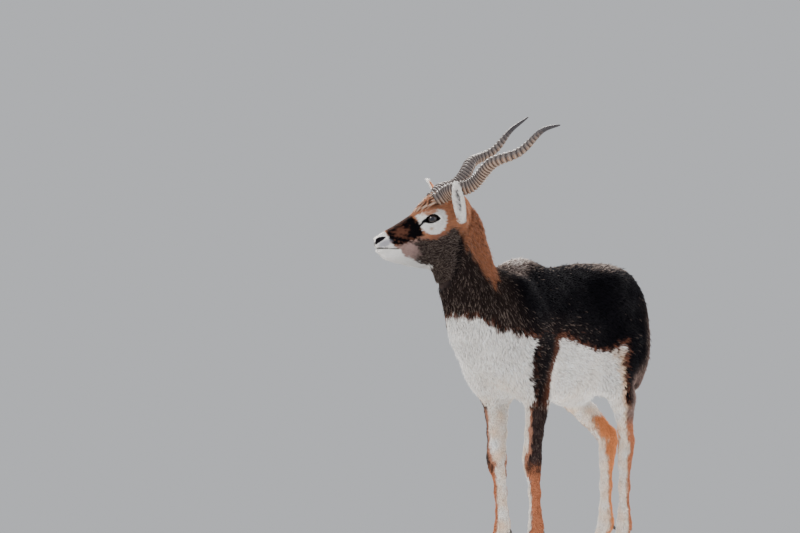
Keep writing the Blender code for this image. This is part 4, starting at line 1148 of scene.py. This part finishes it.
def scatter(part, count, weight):
    """Points spread evenly over a mesh by a weight per area, with normals."""
    verts, faces = part
    normals = vertex_normals(verts, faces)
    a, b, c, d = (verts[faces[:, k]] for k in range(4))
    area = np.linalg.norm(np.cross(c - a, d - b), axis=1) / 2
    share = area * weight((a + b + c + d) / 4)
    ends = np.cumsum(share)
    at = (np.arange(count) + rng.random(count)) / count * ends[-1]
    face = np.minimum(np.searchsorted(ends, at), len(faces) - 1)
    u, w = rng.random((2, count, 1))
    corner = [verts[faces[face, k]] for k in range(4)]
    normal = [normals[faces[face, k]] for k in range(4)]

    def within(c):
        return (c[0] * (1 - u) + c[1] * u) * (1 - w) + (c[3] * (1 - u) + c[2] * u) * w

    return within(corner), unit_rows(within(normal))


def unwrap(p):
    """Place of a point on a flat unwrap of the skin, one strip for each part
    of the body rolled off round its own axis."""
    x, y, z = p.T
    h = to_head(p)

    def roll(a, b):
        return (np.arctan2(a, b) / (2 * math.pi)) % 1.0

    u = 0.01 + 0.57 * (y + 0.32) / 0.96
    v = 0.42 + 0.57 * roll(x, z - 0.60)
    neck = (z > 0.62) & (y < -0.05)
    u = np.where(neck, 0.62 + 0.22 * (z - 0.60) / 0.38, u)
    v = np.where(neck, 0.64 + 0.35 * roll(x, -(y + 0.20)), v)
    head = (from_cut(p) < 0.01) & (z > 0.70) & (y < -0.10)
    u = np.where(head, 0.62 + 0.35 * (h[:, 1] + 0.03) / 0.38, u)
    v = np.where(head, 0.30 + 0.32 * roll(h[:, 0], -(h[:, 2] + 0.02)), v)
    for i, name in enumerate(STANCE):
        side = STANCE[name][0]
        mine = (x * side > 0) & ((y < 0.2) == name.startswith("fore")) & (z < 0.42)
        mid_y = 0.0 if i < 2 else 0.455
        u = np.where(mine, 0.01 + 0.29 * (i % 2) + 0.27 * z / 0.43, u)
        v = np.where(mine, 0.03 + 0.18 * (i // 2) + 0.15 * roll(x - side * 0.062, y - mid_y), v)
    tail = (y > 0.556) & (z > 0.54)
    u = np.where(tail, 0.87 + 0.11 * roll(x, y - 0.58), u)
    v = np.where(tail, 0.68 + 0.30 * (z - 0.54) / 0.22, v)
    return np.stack((u, v), axis=1)


def tuft_arrays(root, n, lie, length, width, lift, low, mid, tip, bent=True):
    """Vertices, faces, colours and unwrap of flattened three-sided tufts: a
    root ring, a ring half way where they bend, and a point."""
    count = len(root)
    across = np.cross(n, lie)
    thick = 0.42
    corners = ((-0.5, -0.25 * thick), (0.5, -0.25 * thick), (0.0, 0.75 * thick))
    length, width, lift = length[:, None], width[:, None], lift[:, None]
    half_way = root + lie * length * 0.48 + n * lift * 0.72
    end = root + lie * length + n * lift
    rings = [(root - n * 0.0006, 0.8 if bent else 1.0)]
    if bent:
        rings.append((half_way, 1.0))
    rows, paint, chart = [], [], []
    flat = unwrap(root)
    for k, (centre, share) in enumerate(rings):
        for out, up in corners:
            rows.append(centre + (across * out + n * up) * width * share)
            paint.append(low if k == 0 else mid)
            chart.append(flat + np.array((out * PATCH, k * PATCH / 2)))
    rows.append(end)
    paint.append(tip)
    chart.append(flat + np.array((0, PATCH)))
    stride = len(rows)
    verts = np.stack(rows, axis=1).reshape(-1, 3)
    colours = np.stack(paint, axis=1).reshape(-1, 3)
    uv = np.stack(chart, axis=1).reshape(-1, 2)
    start = np.arange(count)[:, None] * stride
    last = 3 if bent else 0
    point = stride - 1
    pattern = [(2, 1, 0)]
    pattern += [(last + k, last + (k + 1) % 3, point) for k in range(3)]
    faces = [(start[:, None] + np.array(pattern)).reshape(-1, 3)]
    if bent:
        quads = [(k, (k + 1) % 3, 3 + (k + 1) % 3, 3 + k) for k in range(3)]
        faces.append((start[:, None] + np.array(quads)).reshape(-1, 4))
    return verts, faces, colours, uv


def unit_rows(rows):
    return rows / np.maximum(np.linalg.norm(rows, axis=1), 1e-12)[:, None]


def swirl(lie, n, angle):
    across = np.cross(n, lie)
    return lie * np.cos(angle)[:, None] + across * np.sin(angle)[:, None]


def paint_tufts(p, n, shade=0.16):
    """Root, middle and tip colour of each tuft."""
    base, tips = marks(p, n)
    vary = 1 + shade * rng.normal(size=(len(p), 1)).clip(-2, 2)
    low = base * 0.72
    mid = base * vary
    lit = (rng.random(len(p)) < tips)[:, None]
    light = FLECK + (WHITE - FLECK) * (0.75 * tips[:, None] ** 2)
    tip = np.where(lit, light * vary, base * vary * 1.12)
    mid = np.where(lit, mid * 0.75 + light * 0.25, mid)
    return low, mid.clip(0, 0.95), tip.clip(0, 0.95)


def coat_size(p, n):
    """Length and rise of the tips of the body's tufts."""
    _, y, z = p.T
    length = 0.0090 + 0.0080 * smoothstep(0.36, 0.52, z)
    lift = 0.0020 + 0.0040 * smoothstep(0.30, 0.50, z)
    withers = smoothstep(0.6, 0.9, n[:, 2]) * smoothstep(0.76, 0.785, z)
    withers *= np.exp(-((y - 0.025) / 0.05) ** 2)
    croup = smoothstep(0.55, 0.85, n[:, 2]) * smoothstep(0.34, 0.44, y) * (z > 0.72)
    length += 0.010 * withers + 0.007 * croup
    lift += 0.003 * withers + 0.002 * croup
    neck = smoothstep(0.66, 0.72, z) * smoothstep(-0.06, -0.14, y)
    length -= 0.004 * neck
    chest = smoothstep(-0.16, -0.22, y) * smoothstep(0.68, 0.62, z)
    belly = smoothstep(-0.3, -0.8, n[:, 2]) * smoothstep(0.52, 0.46, z) * (z > 0.40)
    length += 0.004 * chest + 0.005 * belly
    lift += 0.001 * chest + 0.001 * belly
    tail = smoothstep(0.552, 0.560, y) * (z > 0.54)
    length += 0.008 * tail
    spread = rng.uniform(0.75, 1.25, len(p))
    stray = 1 + 0.6 * (rng.random(len(p)) < 0.05)
    return length * spread, lift * rng.uniform(0.6, 1.25, len(p)) * stray


def add_coat(name, arrays, finish):
    verts, faces, colours, uv = arrays
    obj = mesh_object(name, verts, faces, finish, colours, uv=uv)
    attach(obj, "root")


def split_coat(name, hairs, order, finish, bent=True):
    """Coat in as many pieces as the most tufts of a piece ask for."""
    pieces = math.ceil(len(order) / PIECE_TUFTS)
    for k, chosen in enumerate(np.array_split(order, pieces)):
        arrays = tuft_arrays(*(values[chosen] for values in hairs), bent=bent)
        add_coat(f"coat_{name}_{k + 1}", arrays, finish)


def make_body_coat(part, count, finish, name, width):
    """Bent tufts over the body, a leg or the tail."""

    def weight(c):
        buried = (from_cut(c) < 0.006) & (c[:, 2] > 0.70)
        return np.where(buried | (c[:, 2] < CORONET + 0.004), 0.0, 1.0)

    p, n = scatter(part, count, weight)
    order = np.argsort(p[:, 1] - 0.2 * p[:, 2])
    p, n = p[order], n[order]
    lie = lie_of_coat(p, n)
    sway = 0.24 * ripple(p, 0.06, 21) + rng.normal(size=len(p)) * 0.14
    lie = swirl(lie, n, sway)
    length, lift = coat_size(p, n)
    neck = smoothstep(0.64, 0.72, p[:, 2]) * smoothstep(-0.06, -0.14, p[:, 1])
    wide = width * (1 - 0.38 * neck) * rng.uniform(0.7, 1.3, len(p))
    low, mid, tip = paint_tufts(p, n)
    hairs = (p, n, lie, length, wide, lift, low, mid, tip)
    split_coat(name, hairs, np.arange(len(p)), finish)


def make_face_coat(part, count, finish):
    """Short fine tufts over the head, none on the bare nose and eye rims."""

    def weight(c):
        h = to_head(c)
        rim = polygon_distance(h[:, 1], h[:, 2], EYE_BLACK)
        bare = ((rim > -0.0008) & (np.abs(h[:, 0]) > 0.022)) | (bare_lines(h) < 0.0026)
        behind = (h - HEAD_CUT_AT) @ HEAD_CUT_NORMAL
        horned = h[:, 1] < -1
        for side in (1, -1):
            root = mirrored(side, HORN_ROOT)
            axis = horn_axis(side)
            stem = limb(h, root + axis * 0.004, root + axis * 0.030, 0.0235, 0.0235)
            horned |= stem < 0
        front = 1 + 1.3 * smoothstep(0.11, 0.06, h[:, 1])
        return np.where(bare | horned | (behind > 0.014), 0.0, front)

    p, n = scatter(part, count, weight)
    lie = lie_of_coat(p, n)
    h = to_head(p)
    lie = swirl(lie, n, 0.20 * ripple(p, 0.03, 22) + rng.normal(size=len(p)) * 0.16)
    back = smoothstep(0.02, 0.20, h[:, 1])
    jaw = smoothstep(-0.03, -0.08, h[:, 2])
    length = (0.0036 + 0.0030 * back + 0.0030 * jaw) * rng.uniform(0.75, 1.25, len(p))
    lift = (0.0007 + 0.0010 * back + 0.0012 * jaw) * rng.uniform(0.6, 1.3, len(p))
    width = (0.0009 + 0.0005 * back) * rng.uniform(0.7, 1.3, len(p))
    low, mid, tip = paint_tufts(p, n, 0.12)
    hairs = (p, n, lie, length, width, lift, low, mid, tip)
    split_coat("face", hairs, np.argsort(h[:, 1]), finish, bent=False)


# Horns

def horn_centre(t, side):
    root = mirrored(side, HORN_ROOT)
    reach = Vector((side * HORN_REACH.x, HORN_REACH.y, HORN_REACH.z))
    bow = Vector((side * HORN_BOW.x, HORN_BOW.y, HORN_BOW.z))
    lean = reach.normalized()
    across = Vector((side, 0, 0))
    across = (across - across.dot(lean) * lean).normalized()
    over = lean.cross(across) * side
    swing = HORN_SWING * min(t / 0.18, 1.0) ** 0.7 * (1 - 0.77 * t)
    angle = HORN_START + 2 * math.pi * HORN_TURNS * t
    twist = (across * math.cos(angle) + over * math.sin(angle)) * swing
    tip = HORN_TIP[side] * (max(0.0, t - 0.80) / 0.20) ** 1.6
    return root + reach * t + twist + bow * (4 * t * (1 - t)) + tip


def tube_faces(rings, count):
    """Quads of a tube and its two end fans, as arrays."""
    ring = np.arange(rings - 1)[:, None] * count
    j = np.arange(count)
    k = (j + 1) % count
    quads = np.stack((ring + j, ring + k, ring + k + count, ring + j + count), axis=2)
    first = rings * count
    last = (rings - 1) * count
    start = np.stack((np.full(count, first), k, j), axis=1)
    end = np.stack((np.full(count, first + 1), last + j, last + k), axis=1)
    return [quads.reshape(-1, 4), np.concatenate((start, end))]


def tube_object(name, rings, finish, colours=None):
    """Closed tube through rings of points, outward if they turn rightwards."""
    rings = np.array(rings)
    count = rings.shape[1]
    ends = np.array((rings[0].mean(axis=0), rings[-1].mean(axis=0)))
    verts = np.concatenate((rings.reshape(-1, 3), ends))
    faces = tube_faces(len(rings), count)
    middle = rings.mean(axis=1)
    along = middle[1] - middle[0]
    turn = np.cross(rings[0][0] - middle[0], rings[0][count // 4] - middle[0])
    if turn @ along < 0:
        faces = [f[:, ::-1] for f in faces]
    if colours is not None:
        colours = np.array(colours).reshape(-1, 3)
        colours = np.concatenate((colours, colours[:1], colours[-1:]))
    obj = mesh_object(name, verts, faces, finish, colours)
    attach(obj, "root")
    return obj


def ring_phase(side):
    """Share of the length along a horn, and how many ridges lie below it."""
    shares = np.linspace(0, 1, 601)
    centres = np.array([horn_centre(t, side) for t in shares])
    step = np.linalg.norm(np.diff(centres, axis=0), axis=1)
    spacing = read_table((shares[1:] + shares[:-1]) / 2, HORN_RING_SPACING)
    return shares, np.concatenate(([0], np.cumsum(step / spacing)))


def make_horn(label, side, finish):
    """A horn with closely set ridges, with painted shade in the grooves, a painted highlight
    along the crests, and painted light that leaves the upper side grey and dark and the
    underside warm and lighter.
    """
    around, per_ring = ((36, 8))
    shares, phases = ring_phase(side)
    steps = int(phases[-1] * per_ring)
    # Painted shade for the grooves between the ridges.
    dark = np.array((0.028, 0.022, 0.022))
    # Painted light by facing: grey and dark for the upper side, warm and lighter for the
    # underside.
    upper = np.array((0.105, 0.086, 0.082))
    warm = np.array((0.27, 0.165, 0.110))
    # Painted highlight for the crests.
    pale = np.array((0.44, 0.365, 0.31))
    smooth_tip = np.array((0.050, 0.044, 0.048))
    angles = np.linspace(0, 2 * math.pi, around, endpoint=False)
    wobble = 0.16 * np.sin(2 * angles + 0.6) + 0.07 * np.sin(3 * angles)
    turn = HEAD.to_3x3()
    rings, colours = [], []
    for i in range(-2 * per_ring, steps + 1):
        t = float(np.interp(max(i, 0) / per_ring, phases, shares))
        centre = horn_centre(t, side)
        ahead = horn_centre(min(t + 0.02, 1.0), side) - horn_centre(max(t - 0.02, 0), side)
        axis = horn_axis(side).lerp(ahead.normalized(), min(t / 0.10, 1.0)).normalized()
        if i < 0:
            centre = centre + axis * (i * HORN_RING_SPACING[0][1] / per_ring)
        across = Vector((0, 0, 1)).cross(axis).normalized()
        over = axis.cross(across)
        fade = min(1.0, max(0.0, (HORN_RINGED - t) / 0.14))
        wave = i / per_ring + wobble * min(1.0, t / 0.05)
        crest = np.sin(math.pi * (wave % 1.0) ** 1.5) ** 1.3
        base = HORN_ROOT_RADIUS * (1 - t) ** 0.62 * (1 - 0.10 * t) + 0.0010
        depth = 0.155 + 0.050 * math.sin(i * 0.9 / per_ring * 4) + 0.03 * math.sin(6 * t)
        radius = base * (0.985 + depth * (crest - 0.42) * fade)
        out = (np.outer(np.cos(angles), across) + np.outer(np.sin(angles), over))
        ring = np.array(centre) + out * radius[:, None]
        rings.append(from_head(ring))
        height = (out @ np.array(turn).T)[:, 2]
        # Share of the painted light by facing that belongs to the underside.
        under = smoothstep(0.35, -0.55, height)[:, None]
        facing_light_colour = upper * (1 - under) + warm * under
        # Painted shade in the grooves and painted highlight on the crests, the highlight
        # strongest on the underside.
        rise = smoothstep(0.02, 0.36, crest)
        paint = mix(dark + (facing_light_colour - dark) * rise[:, None], pale,
                    0.60 * smoothstep(0.80, 1.0, crest) * (0.35 + 0.65 * under[:, 0]))
        colours.append(smooth_tip + (paint - smooth_tip) * fade)
    obj = tube_object(f"horn_{label}_ringed", rings, finish, colours)
    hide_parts(f"horn_{label}")


def horn_material():
    made, tree, shader = marked_shader_of("horn_keratin")
    shader.inputs["Roughness"].default_value = 0.55
    shader.inputs["Specular IOR Level"].default_value = 0.3
    noise_bump(tree, shader, 260, 0.35, 0.001)
    return made


# Eyes

def make_eye(label, side, finish):
    centre, out, back, up = eye_axes(side)
    rings, colours = [], []
    around = 48
    for i in range(1, 32):
        polar = math.pi * i / 32
        ring, paint = [], []
        for a in np.linspace(0, 2 * math.pi, around, endpoint=False):
            local = (out * math.cos(polar) + (back * math.cos(a) + up * math.sin(a))
                     * math.sin(polar))
            swell = 0.0008 * float(smoothstep(0.72, 0.40, polar))
            ring.append(HEAD @ (centre + local * (EYE_RADIUS - 0.0001 + swell)))
            across, rise = math.sin(polar) * math.cos(a), math.sin(polar) * math.sin(a)
            pupil = math.hypot(across / 0.42, rise / 0.21)
            iris = math.hypot(across, rise) / 0.74
            colour = np.array((0.018, 0.011, 0.008))
            grey = np.array((0.015, 0.016, 0.023))
            colour = colour + (grey - colour) * float(smoothstep(1.6, 0.7, pupil))
            colour = colour * (1 - 0.85 * float(smoothstep(0.70, 0.95, iris)))
            paint.append(colour if math.cos(polar) > 0 else BLACK)
        rings.append(ring)
        colours.append(paint)
    obj = tube_object(f"eye_{label}_ball", rings, finish, colours)
    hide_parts(f"eye_{label}")


def eye_material():
    made, _, shader = marked_shader_of("eye_wet")
    shader.inputs["Roughness"].default_value = 0.14
    shader.inputs["Specular IOR Level"].default_value = 0.28
    shader.inputs["Coat Weight"].default_value = 0.25
    shader.inputs["Coat Roughness"].default_value = 0.04
    return made


# Ears

def ear_frame(side):
    tip = Vector((side * 0.080, -0.004, 0.106)).normalized()
    mouth = Vector((side * 0.48, -0.82, -0.28))
    mouth = (mouth - mouth.dot(tip) * tip).normalized()
    return EAR_ROOT[side], tip, mouth, tip.cross(mouth)


EAR_SECTIONS = (  # (share of the length, half width, how open the cup is)
    (-0.05, 0.0120, 0.0), (0.06, 0.0128, 0.05), (0.16, 0.0150, 0.55), (0.30, 0.0174, 0.85),
    (0.48, 0.0186, 0.80), (0.66, 0.0172, 0.70), (0.82, 0.0130, 0.55), (0.93, 0.0080, 0.45),
    (0.99, 0.0028, 0.30),
)


def ear_rings(side, count, around):
    """Sections of the cupped ear, outer half and then inner half."""
    root, tip, mouth, across = (np.array(v) for v in ear_frame(side))
    rings = []
    for share in np.linspace(EAR_START, EAR_END, count):
        half = float(smooth_table(share, EAR_SECTIONS, 1))
        cup = float(smooth_table(share, EAR_SECTIONS, 2))
        centre = root + tip * (EAR_LENGTH * share) - mouth * (0.004 * share)
        wall = 0.0015 + 0.0014 * (1 - share)
        wrap = 1.15 - 0.55 * share
        open_share = float(smoothstep(0.03, 0.15, share))
        a = np.linspace(-1, 1, around)[:, None]
        theta = a * math.pi / 2
        tube_out = centre + across * half * np.sin(theta) - mouth * half * np.cos(theta)
        tube_in = centre + across * half * np.sin(theta) * 0.98 + mouth * half * np.cos(theta)
        radius = half / math.sin(min(wrap, 1.45))
        bend = a * wrap
        leaf_out = (centre - mouth * (radius * (np.cos(bend) - math.cos(wrap)))
                    + across * radius * np.sin(bend))
        thick = wall * (1.25 - 0.85 * a * a)
        fill = (1 - cup) * 0.5 * half * (1 - a * a)
        leaf_in = leaf_out + mouth * (thick * 1.6 + fill) - across * (thick * 0.5 * a)
        outer = tube_out + (leaf_out - tube_out) * open_share
        inner = tube_in + (leaf_in - tube_in) * open_share
        rings.append(np.concatenate((outer, inner[::-1])))
    return np.array(rings)


EAR_START, EAR_END = -0.05, 0.99  # shares of the length where the leaf closes
EAR_RINGS, EAR_AROUND = 46, 17  # sections, and points across each half of one


def make_ear(label, side, finish, fur):
    """Cupped leaf of one ear, with its fur."""
    rings = ear_rings(side, EAR_RINGS, EAR_AROUND)
    count, ring_size, _ = rings.shape
    across = np.abs(np.linspace(-1, 1, EAR_AROUND))
    share = np.linspace(EAR_START, EAR_END, count)[:, None]
    share = np.broadcast_to(share, (count, ring_size))
    place = np.broadcast_to(np.concatenate((across, across[::-1])), (count, ring_size))
    inside = np.broadcast_to(np.repeat((0.0, 1.0), EAR_AROUND), (count, ring_size))
    world = from_head(rings.reshape(-1, 3))
    colours = ear_colours(world, share.ravel(), place.ravel(), inside.ravel())
    obj = tube_object(f"ear_{label}_leaf", world.reshape(count, ring_size, 3), finish,
                      colours)
    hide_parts(f"ear_{label}")
    make_ear_fur(label, side, rings, share, place[0], inside[0], fur)


def make_ear_fur(label, side, rings, share, place, inside, finish):
    """Short fur on both sides, longer hairs along the rim and in the cup."""
    count, ring_size, _ = rings.shape
    amount = EAR_TUFTS
    i = rng.integers(2, count - 1, amount)
    j = rng.integers(0, ring_size, amount)
    f, g = rng.random((2, amount, 1))
    k = (j + 1) % ring_size
    a, b = rings[i, j], rings[i, k]
    c, d = rings[np.minimum(i + 1, count - 1), j], rings[np.minimum(i + 1, count - 1), k]
    p = (a * (1 - f) + b * f) * (1 - g) + (c * (1 - f) + d * f) * g
    n = unit_rows(np.cross(b - a, c - a))
    middle = rings[i].mean(axis=1)
    outer_half = j < EAR_AROUND - 1
    _, tip_way, mouth, _ = (np.array(v) for v in ear_frame(side))
    facing = np.where(outer_half[:, None], p - middle - mouth * 0.004, mouth)
    n *= np.sign(np.sum(n * facing, axis=1))[:, None]
    lie = unit_rows(tip_way - np.sum(tip_way * n, axis=1)[:, None] * n)
    lie = swirl(lie, n, rng.normal(size=amount) * 0.25)
    rim = smoothstep(0.70, 1.0, place[j])
    in_cup = inside[j] * (1 - rim)
    length = (0.0050 + 0.0030 * rim + 0.0050 * in_cup) * rng.uniform(0.7, 1.3, amount)
    lift = (0.0007 + 0.0008 * rim + 0.0020 * in_cup) * rng.uniform(0.5, 1.3, amount)
    base = ear_colours(from_head(p), share[i, j], place[j], inside[j])
    vary = 1 + 0.12 * rng.normal(size=(amount, 1)).clip(-2, 2)
    turn = HEAD_M[:3, :3].T
    width = np.full(amount, EAR_TUFT_WIDTH)
    verts, faces, paint, _ = tuft_arrays(
        from_head(p), n @ turn, lie @ turn, length, width, lift, base * 0.8, base * vary,
        (base * vary * 1.1).clip(0, 0.95), bent=False)
    strip = np.stack((0.88 + 0.10 * j / ring_size, 0.05 + 0.20 * i / count
                      + (0.22 if side > 0 else 0)), axis=1)
    corner = np.array(((-PATCH / 2, 0), (PATCH / 2, 0), (0, 0), (0, PATCH)))
    uv = (strip[:, None] + corner).reshape(-1, 2)
    add_coat(f"coat_ear_{label}", (verts, faces, paint, uv), finish)


def ear_colours(p, share, place, inside):
    speck = ripple(p, 0.0080, 31)
    back = mix(np.tile(RUFOUS, (len(p), 1)), ORANGE, 0.5 + 0.4 * speck)
    back = mix(back, BROWN, 0.65 * smoothstep(0.72, 0.98, share))
    back = mix(back, WHITE, smoothstep(0.66, 0.92, place))
    cup = np.tile(WHITE, (len(p), 1))
    line = smoothstep(0.50, 0.15, place) * smoothstep(0.16, 0.30, share)
    line *= smoothstep(0.86, 0.70, share)
    cup = mix(cup, np.array((0.38, 0.37, 0.41)), 0.50 * line)
    cup = mix(cup, DARK * 2, 0.90 * line * smoothstep(0.0, 0.35, speck))
    return back * (1 - inside[:, None]) + cup * inside[:, None]


# Hooves

def round_ring(points, fine):
    """Closed smooth curve through a ring of points."""
    points = np.array(points)
    count = len(points)
    at = np.linspace(0, count, fine, endpoint=False)
    i = at.astype(int)
    t = (at - i)[:, None]
    a, b, c, d = (points[(i + k) % count] for k in (-1, 0, 1, 2))
    return 0.5 * (2 * b + (c - a) * t + (2 * a - 5 * b + 4 * c - d) * t**2
                  + (3 * b - a - 3 * c + d) * t**3)


CLAW_SHARES = (0.0, 0.02, 0.10, 0.22, 0.34, 0.46, 0.58, 0.70, 0.80, 0.88, 0.95, 1.0)
CLAW_OUTLINE = (  # (share from toe to heel, share of the half width)
    (0.00, 0.10), (0.10, 0.52), (0.34, 0.92), (0.68, 1.0), (0.92, 0.80), (1.0, 0.35),
    (1.0, -0.35), (0.70, -0.88), (0.34, -0.90), (0.08, -0.45),
)
DEW_SECTIONS = (  # (share of the length, radius)
    (0.0, 0.0051), (0.3, 0.0051), (0.55, 0.0048), (0.75, 0.0041), (0.90, 0.0030),
    (1.0, 0.0016),
)


def make_hooves(name, finish):
    """Two pointed claws and two dew claws of one leg."""
    fore = name.startswith("fore")
    stations = FORELEG if fore else HINDLEG
    foot_x, foot_y = stations[-1][:2]
    length = 0.052 if fore else 0.049
    for k, label in ((1, "outer"), (-1, "inner")):
        claw = []
        for share in CLAW_SHARES:
            height = (CORONET - 0.0002) * share
            toe = foot_y - length * (0.72 - 0.36 * share)
            heel = foot_y + length * (0.34 - 0.02 * share)
            half = (0.0088 - 0.0006 * share) * (0.94 if share == 0.0 else 1.0)
            mid = foot_x + k * (0.0098 - 0.0006 * share)
            ring = [(mid + k * half * out, toe + (heel - toe) * along, height)
                    for along, out in CLAW_OUTLINE]
            claw.append([from_left_leg(p, name) for p in round_ring(ring, 36)])
        obj = tube_object(f"{name}_claw_{label}", claw, finish)
        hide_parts(f"{name}_hoof_{label}")
        root = Vector((foot_x + k * 0.0095, stations[-3][1] + 0.0100, 0.0850))
        tip = root + Vector((k * 0.0035, 0.0135, -0.0150))
        across = Vector((1, 0, 0))
        over = (tip - root).cross(across).normalized()
        rings = []
        for share, radius in DEW_SECTIONS:
            centre = root.lerp(tip, share)
            rings.append([from_left_leg(centre + (across * math.cos(a) + over * math.sin(a))
                                        * radius, name)
                          for a in np.linspace(0, 2 * math.pi, 20, endpoint=False)])
        obj = tube_object(f"{name}_dew_{label}", rings, finish)
        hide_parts(f"{name}_dewclaw_{label}")


def hoof_material():
    made, tree, shader = shader_of("hoof_horn")
    shader.inputs["Base Color"].default_value = (0.030, 0.025, 0.022, 1)
    shader.inputs["Roughness"].default_value = 0.38
    noise_bump(tree, shader, 90, 0.30, 0.001, (1, 1, 6))
    return made


# Studio

def add_light(name, at, aim, energy, size, colour):
    data = bpy.data.lights.new(name, "AREA")
    data.energy = energy
    data.shape = "DISK"
    data.size = size
    data.color = colour
    lamp = bpy.data.objects.new(name, data)
    bpy.context.scene.collection.objects.link(lamp)
    lamp.location = at
    lamp.rotation_mode = "QUATERNION"
    lamp.rotation_quaternion = (aim - at).to_track_quat("-Z", "Y")


CAMERA_TURN = math.radians(33)
CAMERA_AWAY = 30
PICTURE_WIDTH = 2.1333  # metres across the picture, at the animal
SENSOR = 36
FLOOR_REACH = 5
LIGHTS = (  # (name, towards the camera, to its right, up, watts, size, colour)
    ("key", 3.0, -2.2, 2.2, 125, 1.8, (1.0, 0.985, 0.96)),
    ("fill", 2.2, 2.8, 0.9, 45, 3.0, (0.92, 0.96, 1.0)),
    ("rim", -2.2, -0.5, 2.6, 330, 1.0, (1.0, 0.965, 0.91)),
    ("rim_low", -2.4, 2.0, 1.0, 120, 1.0, (1.0, 0.97, 0.93)),
)


def make_studio():
    right = Vector((math.cos(CAMERA_TURN), math.sin(CAMERA_TURN), 0))
    back = Vector((math.sin(CAMERA_TURN), -math.cos(CAMERA_TURN), 0))
    up = Vector((0, 0, 1))
    aim = Vector((-0.2561, -0.1663, 0.7827)) + Vector(SHIFT)
    lens = bpy.data.cameras.new("photo")
    camera = bpy.data.objects.new("photo", lens)
    bpy.context.scene.collection.objects.link(camera)
    camera.location = aim + back * CAMERA_AWAY
    camera.rotation_mode = "QUATERNION"
    camera.rotation_quaternion = (-back).to_track_quat("-Z", "Y")
    lens.sensor_width = SENSOR
    lens.lens = SENSOR * CAMERA_AWAY / PICTURE_WIDTH
    lens.clip_start = 1
    lens.clip_end = 300
    bpy.context.scene.camera = camera

    centre = Vector((0, 0.05, 0.65))
    for name, toward, across, rise, energy, size, colour in LIGHTS:
        at = centre + back * toward + right * across + up * rise
        add_light(name, at, centre, energy, size, colour)

    world = bpy.data.worlds.new("studio")
    world.use_nodes = True
    sky = world.node_tree.nodes["Background"]
    sky.inputs["Color"].default_value = (0.84, 0.86, 0.90, 1)
    sky.inputs["Strength"].default_value = 0.64
    bpy.context.scene.world = world

    square = ((-1, -1, 0), (1, -1, 0), (1, 1, 0), (-1, 1, 0))
    corners = np.array(square, float) * FLOOR_REACH - SHIFT
    made, tree, shader = shader_of("floor_paper")
    shader.inputs["Base Color"].default_value = (0.80, 0.80, 0.80, 1)
    shader.inputs["Roughness"].default_value = 0.95
    coords = tree.nodes.new("ShaderNodeTexCoord")
    reading = tree.nodes.new("ShaderNodeVectorMath")
    reading.operation = "LENGTH"
    fade = tree.nodes.new("ShaderNodeMapRange")
    fade.interpolation_type = "SMOOTHSTEP"
    fade.inputs["From Min"].default_value = 0.9
    fade.inputs["From Max"].default_value = 3.2
    fade.inputs["To Min"].default_value = 1.0
    fade.inputs["To Max"].default_value = 0.0
    tree.links.new(coords.outputs["Object"], reading.inputs[0])
    tree.links.new(reading.outputs["Value"], fade.inputs["Value"])
    tree.links.new(fade.outputs["Result"], shader.inputs["Alpha"])
    floor = mesh_object("floor", corners, np.array(((0, 1, 2, 3),)), made, smooth=False)


def main():
    parts = skin_parts()
    make_skin(parts)
    coat = hair_material("coat_marks", 0.72, 0)
    body, legs, tail, head = parts[0], parts[1:5], parts[5], parts[6]
    make_body_coat(body, BODY_TUFTS, coat, "body", BODY_TUFT_WIDTH)
    for name, leg in zip(STANCE, legs):
        make_body_coat(leg, LEG_TUFTS, coat, name, LEG_TUFT_WIDTH)
    make_body_coat(tail, TAIL_TUFTS, coat, "tail", TAIL_TUFT_WIDTH)
    make_face_coat(head, FACE_TUFTS, coat)
    hide = hair_material("ear_skin", 0.7, 0.3)
    horn, wet, hoof = horn_material(), eye_material(), hoof_material()
    for side, label in ((1, "left"), (-1, "right")):
        make_horn(label, side, horn)
        make_eye(label, side, wet)
        make_ear(label, side, hide, coat)
    for name in STANCE:
        make_hooves(name, hoof)
    make_studio()


main()
